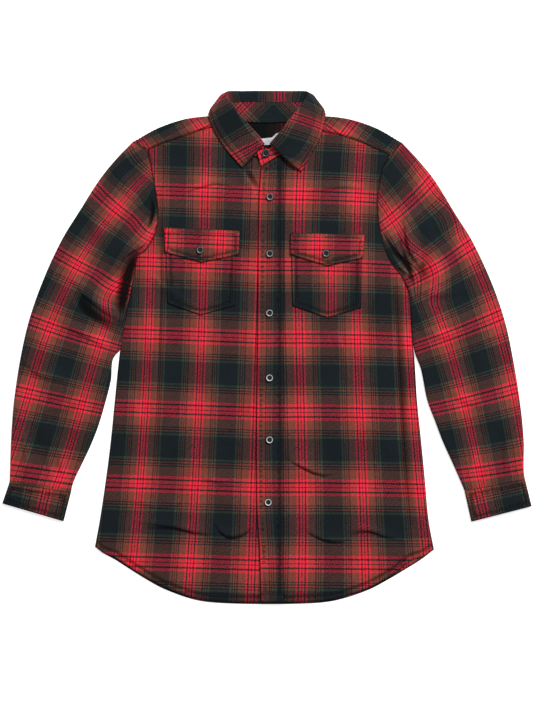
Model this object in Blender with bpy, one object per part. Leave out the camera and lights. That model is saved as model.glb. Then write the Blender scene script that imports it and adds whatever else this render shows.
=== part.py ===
"""A flannel shirt, buttoned and lying flat on its back, front up, sleeves beside the body.

Lengths in the tables are millimetres: x towards the wearer's left, y towards the collar,
z up from the surface that the shirt lies on.  Right and left are the wearer's.  Every piece
is a closed wall of cloth, laid as the real one lies, a seam's gap away from its neighbours.
"""

import math
from collections import namedtuple

import bpy
from mathutils import Vector
from mathutils.geometry import delaunay_2d_cdt

MM = 0.001

# Driving sizes, mm
CLOTH = 1.2             # one layer of brushed flannel
GAP = 0.3               # air between pieces that meet
LINING = 1.0            # inner yoke
CUFF_WALL = 1.6         # the cuffs are interlined
STAND_WALL = 1.4        # and so is the collar stand
FALL_WALL = 1.6         # collar fall: two layers and an interlining
FLAP_WALL = 1.6
LABEL_WALL = 0.8
PANEL_STEP = 27.0       # spacing of the points in a panel
BACK_YOKE_Y = 292.0     # seam between back and back yoke
FRONT_LOW = CLOTH + GAP + LINING + GAP      # underside of a front
LAP_LIFT = CLOTH + GAP                      # the left front lies on the right one
LAP_START, LAP_END = 28.0, 42.0             # x where that lift begins to fall, and ends
SIDE_RAMP = 14.0        # the fronts come down to the back over this width at the side seams
CUFF_HEIGHT = 4.8
ROLL_RADIUS = 2.1       # radius of the collar's fold
NECK_AIR = 0.8          # the collar stand starts this far above its seam line
FLAP_DROP = 8.0         # a pocket starts this far below its flap's top edge
STITCH_IN = 0.4         # a sleeve stands this far off the armhole line
SIDE_AIR = 1.4          # and this far off the side seam below the armpit
SHOULDER_AIR = 1.2      # and this far off the yoke's folded corner
FOLD_INSET = 2.2        # a pressed fold is as round as its height over this width
FOLD_STEP = 14.0        # spacing of the points along the shoulder folds

# Outlines: rows of x, y
ARMHOLE_RIGHT = ((-221.6, 339.7), (-197.6, 326.2), (-190.2, BACK_YOKE_Y), (-184.8, 264.8),
                 (-180.3, 229.2), (-180.6, 205.4), (-187.8, 182.3), (-199.7, 161.5), (-214.5, 151.0))
ARMHOLE_LEFT = ((223.0, 338.3), (202.6, 317.8), (190.0, BACK_YOKE_Y), (184.5, 264.0),
                (182.2, 240.0), (183.8, 212.0), (189.0, 184.0), (196.0, 159.0), (206.0, 138.0),
                (221.1, 118.5))
SIDE_RIGHT = ((-214.5, 151.0), (-220.6, 115.0), (-225.0, 93.0), (-233.0, 52.0), (-242.5, -7.0),
              (-250.8, -86.6), (-257.4, -152.6), (-265.7, -218.6), (-275.6, -284.6), (-283.8, -329.2))
SIDE_LEFT = ((221.1, 118.5), (228.5, 104.0), (234.3, 88.0), (239.1, 19.0), (243.4, -20.0),
             (247.5, -86.6), (254.1, -152.6), (260.5, -218.6), (266.5, -284.6), (275.6, -334.0))
HEM = ((-283.8, -329.2), (-272.0, -339.1), (-250.8, -350.6), (-227.7, -365.5), (-201.3, -382.0),
       (-169.9, -399.0), (-123.8, -415.6), (-85.8, -421.6), (0.0, -424.0), (80.9, -422.1),
       (118.8, -416.6), (168.3, -400.1), (199.7, -383.6), (227.7, -367.1), (254.1, -350.6),
       (275.6, -334.0))
FRONT_HEM_RISE = 4.0    # the fronts end this far inside the back's hem
SHOULDER = ((-221.6, 339.7), (-188.1, 358.9), (-165.8, 368.3), (-143.5, 375.4), (-128.7, 378.7),
            (-110.5, 381.1), (-96.5, 382.0), (-77.5, 381.6), (0.0, 381.6), (77.5, 381.6),
            (96.5, 382.0), (110.5, 381.1), (128.7, 378.7), (143.5, 375.4), (165.8, 368.3),
            (188.1, 358.9), (223.0, 338.3))
YOKE_SEAM_RIGHT = ((-70.5, 366.0), (-92.4, 363.0), (-110.6, 358.9), (-127.0, 353.1),
                   (-151.8, 344.0), (-173.3, 336.8), (-197.6, 326.2))
YOKE_SEAM_LEFT = ((73.0, 363.5), (92.0, 357.0), (118.8, 351.5), (137.0, 345.7),
                  (156.8, 338.3), (179.9, 327.9), (202.6, 317.8))
NECK_BACK = ((-76.0, 379.0), (-60.0, 377.0), (-43.0, 375.4), (-26.0, 373.6), (0.0, 372.8),
             (26.0, 373.6), (43.0, 375.4), (60.0, 377.0), (76.0, 379.0))
NECK_RIGHT = ((28.0, 305.0), (14.0, 313.8), (3.0, 312.6), (-22.0, 314.8), (-43.8, 331.2),
              (-60.8, 351.4), (-70.5, 366.0))
NECK_LEFT = ((-9.9, 297.0), (4.9, 306.9), (20.5, 315.8), (41.8, 328.4), (60.0, 346.6), (73.0, 363.5))
PLACKET_EDGE = ((-9.9, 297.0), (-13.0, 251.6), (-14.4, 177.4), (-15.5, 19.0), (-17.3, -119.6),
                (-17.3, -218.6), (-16.5, -269.8), (-12.5, -332.5), (-9.9, -419.8))
PLACKET_STITCH_X = 28.0         # right edge of the placket
UNDER_EDGE_X = 28.0             # right edge of the front that lies under it
INNER_YOKE = ((-184.0, 294.0), (184.0, 294.0), (190.0, 322.0), (196.0, 338.0), (160.0, 360.0),
              (120.0, 373.0), (80.0, 376.0), (43.0, 374.4), (26.0, 372.6), (0.0, 371.8),
              (-26.0, 372.6), (-43.0, 374.4), (-80.0, 376.0), (-120.0, 373.0), (-160.0, 360.0),
              (-196.0, 338.0), (-190.0, 322.0))
LABEL = ((-12.0, 328.0), (21.5, 330.0), (20.5, 354.0), (-12.5, 352.5))

FLAP_RIGHT = ((-169.5, 197.8), (-44.7, 192.7), (-45.4, 152.8), (-108.6, 139.8), (-168.6, 157.0))
FLAP_LEFT = ((38.4, 188.9), (160.9, 186.4), (158.6, 147.5), (99.7, 134.0), (38.4, 153.0))
POCKET_RIGHT = ((-166.6, 0.0), (-50.5, 0.0), (-52.3, 69.0), (-109.9, 53.3), (-164.7, 72.8))
POCKET_LEFT = ((39.6, 0.0), (156.4, 0.0), (155.8, 65.2), (99.7, 48.8), (41.6, 68.5))

# Sleeves: outer edge from the shoulder point, inner edge from the armpit, both to the cuff seam
OUTER_RIGHT = ((-221.6, 339.7), (-250.8, 309.4), (-277.2, 276.4), (-308.6, 227.0), (-339.1, 177.4),
               (-369.6, 111.4), (-392.7, 45.4), (-407.6, -20.6), (-417.5, -86.6), (-421.6, -136.1),
               (-423.8, -185.6), (-424.9, -223.6))
INNER_RIGHT = ((-214.5, 151.0), (-221.2, 115.0), (-225.8, 93.0), (-234.0, 52.0), (-243.5, -7.0),
               (-254.9, -53.6), (-267.3, -99.2), (-279.5, -134.5), (-292.7, -165.8),
               (-306.1, -193.9), (-319.3, -222.0), (-323.4, -238.4))
OUTER_LEFT = ((223.0, 338.3), (250.8, 308.5), (277.2, 275.6), (312.0, 219.0), (338.3, 177.4),
              (369.6, 110.6), (392.7, 44.6), (406.7, -20.6), (417.4, -86.6), (424.1, -152.6),
              (424.1, -200.5), (425.7, -217.0))
INNER_LEFT = ((221.1, 118.5), (229.5, 104.0), (235.3, 88.0), (240.3, 19.0), (245.0, -7.4),
              (256.0, -36.0), (264.3, -86.6), (277.2, -121.3), (290.4, -155.9), (306.9, -192.2),
              (318.5, -218.6), (325.9, -236.0))
CUFF_RIGHT = ((-425.7, -223.6), (-437.2, -257.4), (-335.8, -287.0), (-323.6, -239.0))
CUFF_LEFT = ((426.2, -217.0), (437.2, -262.0), (337.4, -287.6), (326.0, -236.6))

# Soft ridges pushed up in the cloth: a line, the half width across it and the height, mm
Ridge = namedtuple("Ridge", "x1 y1 x2 y2 width height")
BODY_RIDGES = (
    Ridge(-158, 20, -166, -290, 34, 2.4),
    Ridge(-96, 20, -84, -120, 26, 1.4),
    Ridge(112, 20, 126, -270, 30, 2.4),
    Ridge(190, 60, 205, -250, 34, 1.8),
    Ridge(-195, -300, -40, -312, 20, 1.8),
    Ridge(72, -300, 180, -322, 22, 1.8),
    Ridge(52, -180, 112, -222, 22, 1.6),
    Ridge(-140, 280, -60, 240, 30, 1.4),
    Ridge(120, 290, 66, 235, 30, 1.4),
)
SLEEVE_RIDGES = (
    Ridge(-232, 150, -262, 84, 20, 2.2),
    Ridge(-300, 110, -268, 30, 24, 1.8),
    Ridge(-340, 60, -352, -60, 30, 2.0),
    Ridge(-372, -110, -350, -190, 24, 1.8),
    Ridge(268, 170, 292, 40, 28, 2.2),
    Ridge(330, 60, 352, -60, 28, 2.0),
    Ridge(370, -110, 352, -190, 24, 1.8),
)

# The collar fall, a row for each section from the front end round to the middle of the back.
# seam: where it joins the stand.  crest: the fold, and how far the fold has rolled over,
# 0 with the leaf above the stand and 180 with the leaf under it.  leaf, edge: the leaf's
# middle or its turn round the neck side, and its free edge.
Fall = namedtuple("Fall", "seam_x seam_y seam_z crest_x crest_y crest_z roll "
                          "leaf_x leaf_y leaf_z edge_x edge_y edge_z")
FALL_FRONT_RIGHT = (
    Fall(-4.6, 330.2, 6.9, -4.0, 334.8, 10.4, 0, -26.9, 309.4, 8.6, -40.8, 296.8, 5.3),
    Fall(-15.1, 340.4, 7.5, -13.2, 347.3, 12.0, 0, -37.0, 324.0, 9.0, -52.0, 309.4, 5.35),
    Fall(-32.0, 357.4, 9.0, -28.9, 364.6, 13.5, 0, -53.5, 341.5, 9.5, -68.5, 328.3, 5.35),
    Fall(-47.3, 374.4, 10.0, -43.7, 381.1, 14.5, 0, -68.5, 362.5, 10.0, -83.3, 350.8, 5.35),
    Fall(-58.0, 388.8, 10.0, -54.4, 395.2, 14.5, 0, -79.5, 381.5, 10.2, -93.2, 371.5, 5.4),
)
FALL_FRONT_LEFT = (
    Fall(3.6, 328.2, 8.8, 4.4, 334.2, 12.0, 0, 37.0, 304.2, 10.0, 57.3, 290.1, 5.6),
    Fall(19.2, 343.5, 9.2, 17.8, 350.6, 13.2, 0, 47.5, 322.0, 9.6, 66.8, 306.9, 5.45),
    Fall(34.1, 359.2, 9.6, 31.3, 367.1, 13.8, 0, 60.5, 342.0, 9.6, 78.4, 326.7, 5.35),
    Fall(46.8, 374.3, 10.0, 42.9, 381.6, 14.5, 0, 71.0, 360.0, 10.0, 87.2, 344.5, 5.35),
    Fall(57.5, 389.1, 10.0, 53.5, 396.0, 14.5, 0, 80.0, 380.0, 10.2, 93.6, 368.0, 5.4),
)
FALL_BACK = (
    Fall(-62.3, 395.5, 9.9, -58.8, 401.5, 14.0, 12, -86.5, 387.0, 9.2, -96.6, 384.6, 5.1),
    Fall(-65.4, 399.7, 9.7, -62.6, 407.5, 13.0, 30, -94.2, 391.5, 5.4, -95.0, 387.2, 2.6),
    Fall(-66.6, 402.4, 7.6, -66.6, 415.6, 10.2, 65, -84.4, 405.4, 4.4, -82.0, 386.0, 0.9),
    Fall(-61.5, 404.4, 5.2, -66.0, 421.1, 6.4, 120, -74.4, 416.5, 2.3, -70.5, 384.5, 0.8),
    Fall(-51.0, 404.9, 5.0, -56.0, 422.9, 3.6, 165, -58.0, 414.0, 0.8, -57.0, 382.0, 0.8),
    Fall(-30.0, 405.1, 5.0, -30.0, 423.2, 2.9, 180, -30.0, 414.0, 0.8, -30.0, 379.0, 0.8),
    Fall(0.0, 405.1, 5.0, 0.0, 423.2, 2.9, 180, 0.0, 414.0, 0.8, 0.0, 378.4, 0.8),
)

# The stand's lower edge, a row for each of those sections, and each end past the front
Neck = namedtuple("Neck", "x y z")
STAND_FRONT_RIGHT = (Neck(3.0, 313.4, 3.4), Neck(-22.0, 315.8, 3.4), Neck(-43.0, 332.0, 3.4),
                     Neck(-60.0, 352.0, 3.7), Neck(-69.3, 368.3, 4.6))
STAND_FRONT_LEFT = (Neck(4.9, 307.7, 5.7), Neck(24.0, 318.6, 5.4), Neck(44.0, 331.2, 4.2),
                    Neck(60.5, 348.6, 3.8), Neck(71.0, 364.8, 4.6))
STAND_BACK = (Neck(-72.4, 375.5, 5.4), Neck(-73.6, 379.2, 5.5), Neck(-72.6, 382.2, 4.5),
              Neck(-67.5, 382.3, 3.2), Neck(-56.0, 379.8, 3.1), Neck(-30.0, 376.0, 3.1),
              Neck(0.0, 374.8, 3.1))
Tab = namedtuple("Tab", "low_x low_y low_z top_x top_y top_z")
STAND_TAB_RIGHT = Tab(14.0, 315.8, 3.4, 13.2, 321.6, 4.5)
STAND_TAB_LEFT = Tab(-9.9, 297.8, 5.6, -16.2, 323.6, 8.3)

# Buttons: x, y of each
Spot = namedtuple("Spot", "x y")
BUTTON_STAND = Spot(-2.0, 319.6)
BUTTONS_FRONT = (Spot(4.9, 248.3), Spot(4.6, 154.6), Spot(4.3, 56.9), Spot(4.3, -50.0),
                 Spot(4.3, -152.1), Spot(2.1, -254.9))
BUTTON_FLAP_RIGHT = Spot(-110.1, 160.5)
BUTTON_FLAP_LEFT = Spot(97.5, 154.9)
BUTTON_SIDES = 16
FALL_COUNTS = (2, 2, 2, 3, 3)       # steps between the control points of a section of the fall
Turn = namedtuple("Turn", "radius height")
BUTTON_PROFILE = (Turn(5.0, 0.0), Turn(6.3, 0.9), Turn(6.1, 2.1), Turn(5.2, 2.6), Turn(4.2, 2.3),
                  Turn(3.5, 1.7))

Colour = namedtuple("Colour", "name red green blue roughness")
FLANNEL = Colour("flannel", 0.16, 0.03, 0.035, 0.95)
LABEL_TAPE = Colour("label", 0.22, 0.22, 0.23, 0.8)
BUTTON_RESIN = Colour("button", 0.03, 0.03, 0.035, 0.35)


# ---------------------------------------------------------------- curves and small sums

def curve_through(points, counts):
    """A smooth curve through the points, with a set number of steps in each stretch."""
    padded = [2 * points[0] - points[1]] + points + [2 * points[-1] - points[-2]]
    curve = [points[0]]
    for before, start, end, after, count in zip(padded, padded[1:], padded[2:], padded[3:], counts):
        length = (end - start).length
        leave = (end - before) * (length / (length + (start - before).length))
        arrive = (after - start) * (length / (length + (after - end).length))
        for index in range(1, count + 1):
            t = index / count
            curve.append(start * (1 + 2 * t) * (1 - t) ** 2 + leave * t * (1 - t) ** 2
                         + end * t * t * (3 - 2 * t) + arrive * t * t * (t - 1))
    return curve


def smooth(rows, step=PANEL_STEP):
    """A smooth curve through the rows, one point about every step, with every row kept."""
    points = [Vector(row) for row in rows]
    return curve_through(points, [max(1, round((b - a).length / step))
                                  for a, b in zip(points, points[1:])])


def straight(start, end, step=PANEL_STEP):
    """Evenly spaced points from start to end."""
    start, end = Vector(start), Vector(end)
    count = max(1, round((end - start).length / step))
    return [start.lerp(end, index / count) for index in range(count + 1)]


def polygon(rows, step=PANEL_STEP):
    """The sides of a straight-sided outline, each divided evenly."""
    return loop(*(straight(a, b, step) for a, b in zip(rows, rows[1:] + rows[:1])))


def loop(*curves):
    """Join curves end to end into one closed outline, meeting points kept once."""
    ring = []
    for curve in curves:
        for point in curve:
            if not ring or (point - ring[-1]).length > 0.05:
                ring.append(point.copy())
    if (ring[0] - ring[-1]).length <= 0.05:
        ring.pop()
    return ring


def moved(points, dx, dy):
    return [point + Vector((dx, dy)) for point in points]


def offset(points, distance):
    """Move an open curve sideways, to its left where distance is positive."""
    result = []
    for index, point in enumerate(points):
        before = points[max(index - 1, 0)]
        after = points[min(index + 1, len(points) - 1)]
        along = (after - before).normalized()
        result.append(point + Vector((-along.y, along.x)) * distance)
    return result


def height_at(curve, x):
    """y of a curve that runs along x."""
    for left, right in zip(curve, curve[1:]):
        low, high = sorted((left[0], right[0]))
        if low <= x <= high and high > low:
            return left[1] + (right[1] - left[1]) * (x - left[0]) / (right[0] - left[0])
    return curve[0][1] if abs(x - curve[0][0]) < abs(x - curve[-1][0]) else curve[-1][1]


def width_at(curve, y):
    """x of a curve that runs along y."""
    return height_at([(point[1], point[0]) for point in curve], y)


def ease(value):
    """0 to 1, with a level start and end."""
    t = min(max(value, 0.0), 1.0)
    return t * t * (3 - 2 * t)


def segment_distance(x, y, x1, y1, x2, y2):
    dx, dy = x2 - x1, y2 - y1
    t = ((x - x1) * dx + (y - y1) * dy) / (dx * dx + dy * dy)
    t = min(max(t, 0.0), 1.0)
    return math.hypot(x - x1 - t * dx, y - y1 - t * dy)


def ridges_at(ridges, x, y):
    """How far the ridges push the cloth up."""
    lift = 0.0
    for ridge in ridges:
        away = segment_distance(x, y, ridge.x1, ridge.y1, ridge.x2, ridge.y2) / ridge.width
        if away < 1:
            lift = max(lift, ridge.height * (1 - away * away) ** 2)
    return lift


# ---------------------------------------------------------------- meshes

def material(colour):
    made = bpy.data.materials.get(colour.name)
    if made is None:
        made = bpy.data.materials.new(colour.name)
        made.use_nodes = True
        shader = made.node_tree.nodes["Principled BSDF"]
        shader.inputs["Base Color"].default_value = (colour.red, colour.green, colour.blue, 1)
        shader.inputs["Roughness"].default_value = colour.roughness
    return made


def add_object(name, points, faces, colour, shirt):
    """A smooth-shaded object in metres from points in millimetres, on the shirt's empty."""
    mesh = bpy.data.meshes.new(name)
    mesh.from_pydata([Vector(point) * MM for point in points], [], faces)
    mesh.materials.append(material(colour))
    mesh.shade_smooth()
    mesh.set_sharp_from_angle(angle=math.radians(50))
    piece = bpy.data.objects.new(name, mesh)
    piece.parent = shirt
    bpy.context.collection.objects.link(piece)
    return piece


def wall(name, triangles, outer, inner, colour, shirt):
    """A closed wall between two copies of one triangulated sheet."""
    used = sorted({index for triangle in triangles for index in triangle})
    place = {index: number for number, index in enumerate(used)}
    count = len(used)
    top = [tuple(place[index] for index in triangle) for triangle in triangles]
    faces = top + [tuple(count + index for index in reversed(triangle)) for triangle in top]
    edges = {(a, b) for t in top for a, b in zip(t, t[1:] + t[:1])}
    for a, b in sorted(edges):
        if (b, a) not in edges:
            faces.append((b, a, count + a, count + b))
    points = [outer[index] for index in used] + [inner[index] for index in used]
    return add_object(name, points, faces, colour, shirt)


def inside(ring, x, y):
    hit = False
    for a, b in zip(ring, ring[1:] + ring[:1]):
        if (a.y > y) != (b.y > y) and x < a.x + (b.x - a.x) * (y - a.y) / (b.y - a.y):
            hit = not hit
    return hit


def turns_left(ring):
    return sum(a.cross(b) for a, b in zip(ring, ring[1:] + ring[:1])) > 0


def triangulate(rings, step, extra=(), lines=()):
    """One triangulation for outlines that may overlap, and the triangles inside each of them.

    Extra points are kept, and so are the edges along the lines."""
    points, faces, edges = [], [], []
    for ring in rings:
        numbers = list(range(len(points), len(points) + len(ring)))
        faces.append(numbers if turns_left(ring) else numbers[::-1])
        points += ring
    sides = [(a, b) for ring in rings for a, b in zip(ring, ring[1:] + ring[:1])]
    low_x, high_x = min(p.x for p in points), max(p.x for p in points)
    low_y, high_y = min(p.y for p in points), max(p.y for p in points)
    for line in lines:
        edges += [(len(points) + index, len(points) + index + 1) for index in range(len(line) - 1)]
        sides += zip(line, line[1:])
        points += line
    inner = [Vector(point) for point in extra]
    row_step = step * math.sqrt(3) / 2
    for row in range(int((high_y - low_y) / row_step) + 1):
        for column in range(int((high_x - low_x) / step) + 1):
            x = low_x + (column + 0.5 * (row % 2)) * step
            y = low_y + row * row_step
            if not any(inside(ring, x, y) for ring in rings):
                continue
            if all(segment_distance(x, y, a.x, a.y, b.x, b.y) > step * 0.42 for a, b in sides):
                inner.append(Vector((x, y)))
    result = delaunay_2d_cdt(points + inner, edges, faces, 1, 1e-3)
    flat_points, triangles, origins, owners = result[0], result[2], result[3], result[5]
    inside_of = [[tuple(t) for t, own in zip(triangles, owners) if number in own]
                 for number in range(len(rings))]
    return flat_points, inside_of, origins


def lofted(name, sections, thickness, colour, shirt):
    """A closed wall on a grid of middle points, half the thickness to each side of it."""
    rows, columns = len(sections), len(sections[0])

    def normal(row, column):
        along = sections[min(row + 1, rows - 1)][column] - sections[max(row - 1, 0)][column]
        across = sections[row][min(column + 1, columns - 1)] - sections[row][max(column - 1, 0)]
        return across.cross(along).normalized()

    outer, inner = [], []
    for row in range(rows):
        for column in range(columns):
            shift = normal(row, column) * (thickness / 2)
            middle = sections[row][column]
            for side, point in ((outer, middle + shift), (inner, middle - shift)):
                point.z = max(point.z, 0.0)
                side.append(point)
    triangles = []
    for row in range(rows - 1):
        for column in range(columns - 1):
            a = row * columns + column
            b, c, d = a + 1, a + columns + 1, a + columns
            triangles += [(a, b, c), (a, c, d)]
    return wall(name, triangles, outer, inner, colour, shirt)


# ---------------------------------------------------------------- the body

def side_distance(x, y):
    """How far a point of a front is from its side seam, or None above the armpit."""
    side = SIDE_RIGHT if x < 0 else SIDE_LEFT
    if y > side[0][1]:
        return None
    return abs(width_at(side, y)) - abs(x)


def front_low(x, y):
    """The underside of a single front: down to the back at the side seams, ridges elsewhere."""
    lift = ridges_at(BODY_RIDGES, x, y)
    away = side_distance(x, y)
    if away is None:
        return FRONT_LOW + lift
    top = (SIDE_RIGHT if x < 0 else SIDE_LEFT)[0][1]
    near = max(ease(away / SIDE_RAMP), 1 - ease((top - y) / SIDE_RAMP))
    far = ease(away / (3 * SIDE_RAMP))
    seam_low = CLOTH + GAP
    return seam_low + (FRONT_LOW - seam_low) * near + lift * far


def lap_lift(x):
    """The left front's extra height, where it lies on the right one."""
    return LAP_LIFT * (1 - min(max((x - LAP_START) / (LAP_END - LAP_START), 0.0), 1.0))


def armhole(side):
    return smooth(ARMHOLE_RIGHT if side == "right" else ARMHOLE_LEFT)


def body_outlines():
    """The outlines of all that the fronts carry, in one order."""
    arm_right = [p for p in armhole("right") if p.y <= YOKE_SEAM_RIGHT[-1][1] + 0.1]
    arm_left = [p for p in armhole("left") if p.y <= YOKE_SEAM_LEFT[-1][1] + 0.1]
    yoke_right = moved(smooth(YOKE_SEAM_RIGHT), 0, -GAP)
    yoke_left = moved(smooth(YOKE_SEAM_LEFT), 0, -GAP)
    hem = moved(smooth(HEM), 0, FRONT_HEM_RISE)
    hem_right = [p for p in hem if p.x < UNDER_EDGE_X]
    centre = Vector((UNDER_EDGE_X, height_at(hem, UNDER_EDGE_X)))
    placket_edge = smooth(PLACKET_EDGE)
    hem_left = [p for p in hem if p.x > UNDER_EDGE_X]
    corner = Vector((UNDER_EDGE_X, NECK_RIGHT[0][1]))
    neck_left = smooth(NECK_LEFT)
    stitch_top = Vector((PLACKET_STITCH_X, height_at(NECK_LEFT, PLACKET_STITCH_X)))
    neck_placket = [p for p in neck_left if p.x < PLACKET_STITCH_X] + [stitch_top]
    neck_rest = [stitch_top] + [p for p in neck_left if p.x > PLACKET_STITCH_X]
    foot = [placket_edge[-1], centre]
    front_right = loop(yoke_right[-1:] + arm_right[1:], smooth(SIDE_RIGHT), hem_right, [centre],
                       straight(centre, corner), smooth(NECK_RIGHT)[1:], yoke_right)
    front_left = loop(neck_placket, neck_rest, yoke_left[:-1], [arm_left[0] - Vector((0, GAP))],
                      arm_left[1:], smooth(SIDE_LEFT), hem_left[::-1], foot[::-1],
                      placket_edge[::-1])
    placket = loop(placket_edge, foot, straight(centre, corner)[1:], [stitch_top],
                   neck_placket[::-1])
    pockets = []
    for flap, pocket in ((FLAP_RIGHT, POCKET_RIGHT), (FLAP_LEFT, POCKET_LEFT)):
        top = [(x, height_at(flap[:2], x) - FLAP_DROP) for x, _ in pocket[:2]]
        pockets += [polygon(flap), polygon(tuple(top) + pocket[2:])]
    return [front_right, front_left, placket] + pockets


def layer(name, triangles, points, low, thickness, colour, shirt):
    """A panel whose underside is at low(x, y)."""
    bottom = [Vector((p.x, p.y, low(p.x, p.y))) for p in points]
    top = [p + Vector((0, 0, thickness)) for p in bottom]
    return wall(name, triangles, top, bottom, colour, shirt)


def flap_low(flap):
    """A flap's underside: on the front at its top edge, on the pocket from there down."""
    def low(x, y):
        over = min(max((height_at(flap[:2], x) - y) / FLAP_DROP, 0.0), 1.0)
        return front_low(x, y) + lap_lift_left(x) + CLOTH + GAP + over * (CLOTH + GAP)
    return low


def lap_lift_left(x):
    """The lift of whichever front shows at x."""
    return lap_lift(x) if x > PLACKET_EDGE[0][0] else 0.0


def build_fronts(shirt):
    spots = [(spot.x, spot.y) for spot in BUTTONS_FRONT + (BUTTON_FLAP_RIGHT, BUTTON_FLAP_LEFT)]
    points, parts, _ = triangulate(body_outlines(), PANEL_STEP, spots)
    right, left, placket, flap_right, pocket_right, flap_left, pocket_left = parts
    layer("front_right", right, points, front_low, CLOTH, FLANNEL, shirt)
    layer("front_left", left, points, lambda x, y: front_low(x, y) + lap_lift(x), CLOTH,
          FLANNEL, shirt)
    layer("placket", placket, points,
          lambda x, y: front_low(x, y) + lap_lift(x) + CLOTH + GAP, CLOTH, FLANNEL, shirt)
    for name, pocket, flap, rows in (("right", pocket_right, flap_right, FLAP_RIGHT),
                                     ("left", pocket_left, flap_left, FLAP_LEFT)):
        layer("pocket_" + name, pocket, points,
              lambda x, y: front_low(x, y) + lap_lift_left(x) + CLOTH + GAP, CLOTH, FLANNEL, shirt)
        layer("flap_" + name, flap, points, flap_low(rows), FLAP_WALL, FLANNEL, shirt)


def build_back(shirt):
    arm_right = [p for p in armhole("right") if p.y <= BACK_YOKE_Y + 0.1]
    arm_left = [p for p in armhole("left") if p.y <= BACK_YOKE_Y + 0.1]
    below = Vector((0, GAP))
    ring = loop([arm_right[0] - below], arm_right[1:], smooth(SIDE_RIGHT), smooth(HEM),
                smooth(SIDE_LEFT)[::-1], arm_left[:0:-1], [arm_left[0] - below])
    points, parts, _ = triangulate([ring], 3 * PANEL_STEP)
    layer("back", parts[0], points, lambda x, y: 0.0, CLOTH, FLANNEL, shirt)


# ---------------------------------------------------------------- the yoke

def unfold(point, shoulder):
    """Where a point of the front strip lies when the yoke is opened out over the shoulder."""
    return Vector((point.x, 2 * height_at(shoulder, point.x) - point.y))


def build_yoke(shirt):
    """The yoke is cut flat, then folded over the shoulder line to its front strips."""
    shoulder = smooth(SHOULDER)
    radius = FRONT_LOW / 2
    quarter = math.pi * radius / 2
    sides = {}
    for side, seam in (("right", YOKE_SEAM_RIGHT), ("left", YOKE_SEAM_LEFT)):
        arm = [p for p in armhole(side) if p.y >= BACK_YOKE_Y - 0.1]
        strip = [p for p in arm if p.y >= seam[-1][1] - 0.1]
        front = [unfold(p, shoulder) for p in smooth(seam)]
        sides[side] = (arm[::-1], [unfold(p, shoulder) for p in strip][1:-1], front[::-1])
    back_right, strip_right, front_right = sides["right"]
    back_left, strip_left, front_left = sides["left"]
    neck = smooth(NECK_BACK)
    ring = loop(back_right, strip_right, front_right, neck, front_left[::-1],
                strip_left[::-1], back_left[::-1], straight(back_left[0], back_right[0]))
    rows = []
    for part in (-1.0, -0.33, 0.33, 1.0):
        xs = [SHOULDER[0][0] - 3 + FOLD_STEP * count
              for count in range(int((SHOULDER[-1][0] - SHOULDER[0][0] + 6) / FOLD_STEP) + 2)]
        rows.append([Vector((x, height_at(shoulder, x) + part * quarter)) for x in xs])
    points, parts, _ = triangulate([ring], 2 * PANEL_STEP, (), rows)

    def placed(point, side):
        """side is +1 on the outside of the fold and -1 on its inside."""
        line = height_at(shoulder, point.x)
        past = point.y - line
        angle = min(max(past / radius, -math.pi / 2), math.pi / 2)
        reach = radius + side * CLOTH / 2
        y = line - CLOTH / 2 - radius + reach * math.cos(angle)
        if past < -quarter:
            y += past + quarter
        elif past > quarter:
            y -= past - quarter
        return Vector((point.x, y, CLOTH / 2 + radius + reach * math.sin(angle)))

    outer = [placed(p, 1) for p in points]
    inner = [placed(p, -1) for p in points]
    flipped = [triangle[::-1] for triangle in parts[0]]
    wall("yoke", flipped, outer, inner, FLANNEL, shirt)


def build_linings(shirt):
    ring = [Vector(row) for row in INNER_YOKE]
    points, parts, _ = triangulate([ring], 4 * PANEL_STEP)
    layer("inner_yoke", parts[0], points, lambda x, y: CLOTH + GAP, LINING, FLANNEL, shirt)
    points, parts, _ = triangulate([[Vector(row) for row in LABEL]], 4 * PANEL_STEP)
    layer("neck_label", parts[0], points, lambda x, y: CLOTH + GAP + LINING + GAP, LABEL_WALL,
          LABEL_TAPE, shirt)


# ---------------------------------------------------------------- sleeves and cuffs

def with_near_ends(curve):
    """The curve with two more points, just inside its ends."""
    first = curve[0] + (curve[1] - curve[0]).normalized() * FOLD_INSET
    last = curve[-1] + (curve[-2] - curve[-1]).normalized() * FOLD_INSET
    return [curve[0], first] + curve[1:-1] + [last, curve[-1]]


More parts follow.
